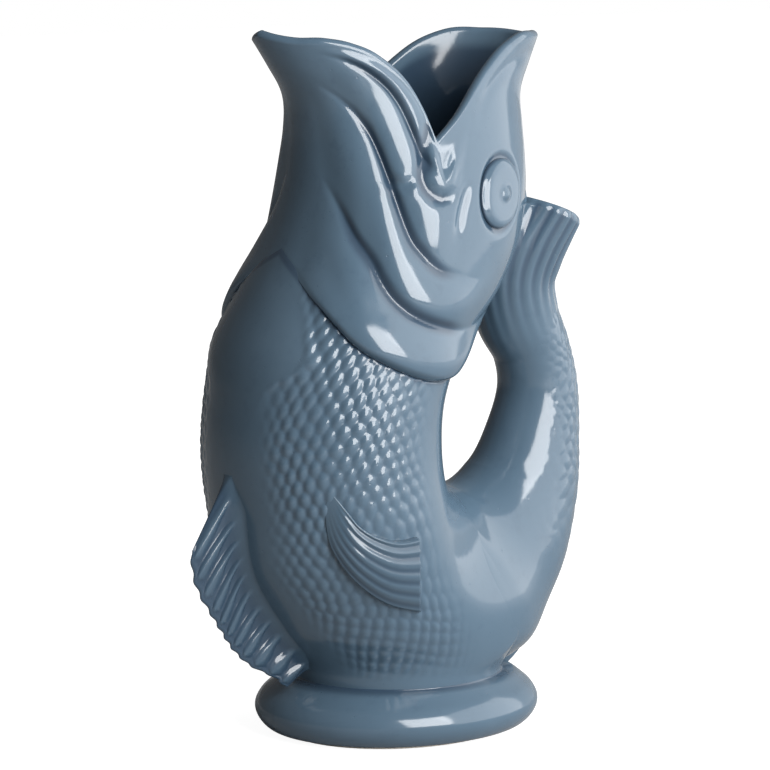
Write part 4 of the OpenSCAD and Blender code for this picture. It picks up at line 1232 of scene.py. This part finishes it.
def make_floor():
    """Plain pale floor: lit like any white card, lifted for the camera to a clean white that keeps
    the jug's soft shadow, and given a painted reflection: a glow that only glossy rays see,
    stronger on its light side."""
    mesh = bpy.data.meshes.new("floor")
    corners = [(x * FLOOR_HALF, y * FLOOR_HALF, 0) for x, y in ((-1, -1), (1, -1), (1, 1), (-1, 1))]
    mesh.from_pydata(corners, [], [(0, 1, 2, 3)])
    obj = bpy.data.objects.new("floor", mesh)
    bpy.context.scene.collection.objects.link(obj)
    m, t, shader = new_material("pale_floor")
    shader.inputs["Base Color"].default_value = FLOOR_GREY
    shader.inputs["Roughness"].default_value = FLOOR_ROUGH
    shader.inputs["Specular IOR Level"].default_value = 0.0
    glow = t.nodes.new("ShaderNodeEmission")
    glow.inputs["Color"].default_value = WHITE
    ray = t.nodes.new("ShaderNodeLightPath").outputs
    seen = math_node(t, "MULTIPLY", ray["Is Camera Ray"], FLOOR_SEEN)
    light_side = ramp(t, toward(t, object_place(t), FLOOR_WAY), 0.05, 0.80)
    light_side = math_node(t, "MULTIPLY", light_side, FLOOR_PAINTED_REFLECTION)
    painted_reflection = math_node(t, "MULTIPLY", ray["Is Glossy Ray"], light_side)
    t.links.new(math_node(t, "ADD", seen, painted_reflection), glow.inputs["Strength"])
    both = t.nodes.new("ShaderNodeAddShader")
    t.links.new(shader.outputs[0], both.inputs[0])
    t.links.new(glow.outputs[0], both.inputs[1])
    t.links.new(both.outputs[0], t.nodes["Material Output"].inputs["Surface"])
    mesh.materials.append(m)


def make_world():
    """The room: dim on the left of the spout and brighter on the right, white to the camera."""
    w = bpy.data.worlds.new("studio")
    bpy.context.scene.world = w
    w.use_nodes = True
    t = w.node_tree
    way = t.nodes.new("ShaderNodeTexCoord").outputs["Generated"]
    level = ramp(t, toward(t, way, ROOM_WAY), -0.30, 0.85)
    level = math_node(t, "ADD", math_node(t, "MULTIPLY", level, ROOM_BRIGHT), ROOM_DIM)
    camera_ray = t.nodes.new("ShaderNodeLightPath").outputs["Is Camera Ray"]
    back = t.nodes["Background"].inputs
    back["Color"].default_value = WHITE
    t.links.new(math_node(t, "MAXIMUM", level, camera_ray), back["Strength"])


def make_lamp(name, spout_ang, elevation, distance, size, power):
    """A rectangular soft lamp: it stands at an angle from the spout, round the right side, and at
    a height angle, and faces the jug."""
    light = bpy.data.lights.new(name, "AREA")
    light.shape = "RECTANGLE"
    light.size, light.size_y = size
    light.energy = power
    obj = bpy.data.objects.new(name, light)
    a, e = math.radians(spout_ang), math.radians(elevation)
    way = np.array([-math.cos(a) * math.cos(e), -math.sin(a) * math.cos(e), math.sin(e)])
    obj.location = way * distance + np.array(LAMP_AIM)
    obj.rotation_euler = Vector(way).to_track_quat("Z", "Y").to_euler()
    bpy.context.scene.collection.objects.link(obj)


def make_camera():
    """The photograph's view: 37 degrees round from the jug's right side towards the spout."""
    cam = bpy.data.cameras.new("camera")
    cam.sensor_width = SENSOR
    cam.lens = SENSOR * FOCAL_PIXELS / PHOTO_PIXELS
    cam.clip_start, cam.clip_end = 0.05, 30
    obj = bpy.data.objects.new("camera", cam)
    obj.location = CAMERA_PLACE
    obj.rotation_euler = (math.radians(90 - CAMERA_DOWN), 0, math.radians(CAMERA_ROUND - 90))
    bpy.context.scene.collection.objects.link(obj)
    bpy.context.scene.camera = obj


make_camera()
make_world()
make_floor()
for name, values in LAMPS.items():
    make_lamp(name, *values)

glaze = glaze_material("blue_grey_glaze", *GLAZE)
scaled = glaze_material("scale_glaze", *SCALE_GLAZE, wave=0.7)
# the fins' glaze is the body's, darkened as painted shade
shaded_fin_glaze = glaze_material("shaded_fin_glaze", *SHADED_FIN_GLAZE, wave=0.6)

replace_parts(trunk_piece(scaled), "trunk")
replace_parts(head_piece(glaze), "head")
handle, fan = tail_pieces(scaled)
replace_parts(handle, "tail_handle")
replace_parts(fan, "tail_fin")
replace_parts(foot_piece(glaze), "foot")
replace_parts(front_fin_piece(shaded_fin_glaze), "front_fin")
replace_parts(rear_fin_piece(shaded_fin_glaze), "rear_fin")
for side, word in ((-1, "right"), (1, "left")):
    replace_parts(side_fin_piece("side_fin_" + word + "_skin", side, shaded_fin_glaze), "side_fin_" + word)
    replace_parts(eye_piece("eye_" + word + "_skin", side, glaze), "eye_" + word)
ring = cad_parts["bare_ring"]
ring.data.materials.clear()
ring.data.materials.append(clay_material())

scene = bpy.context.scene
scene.view_settings.view_transform = "Standard"
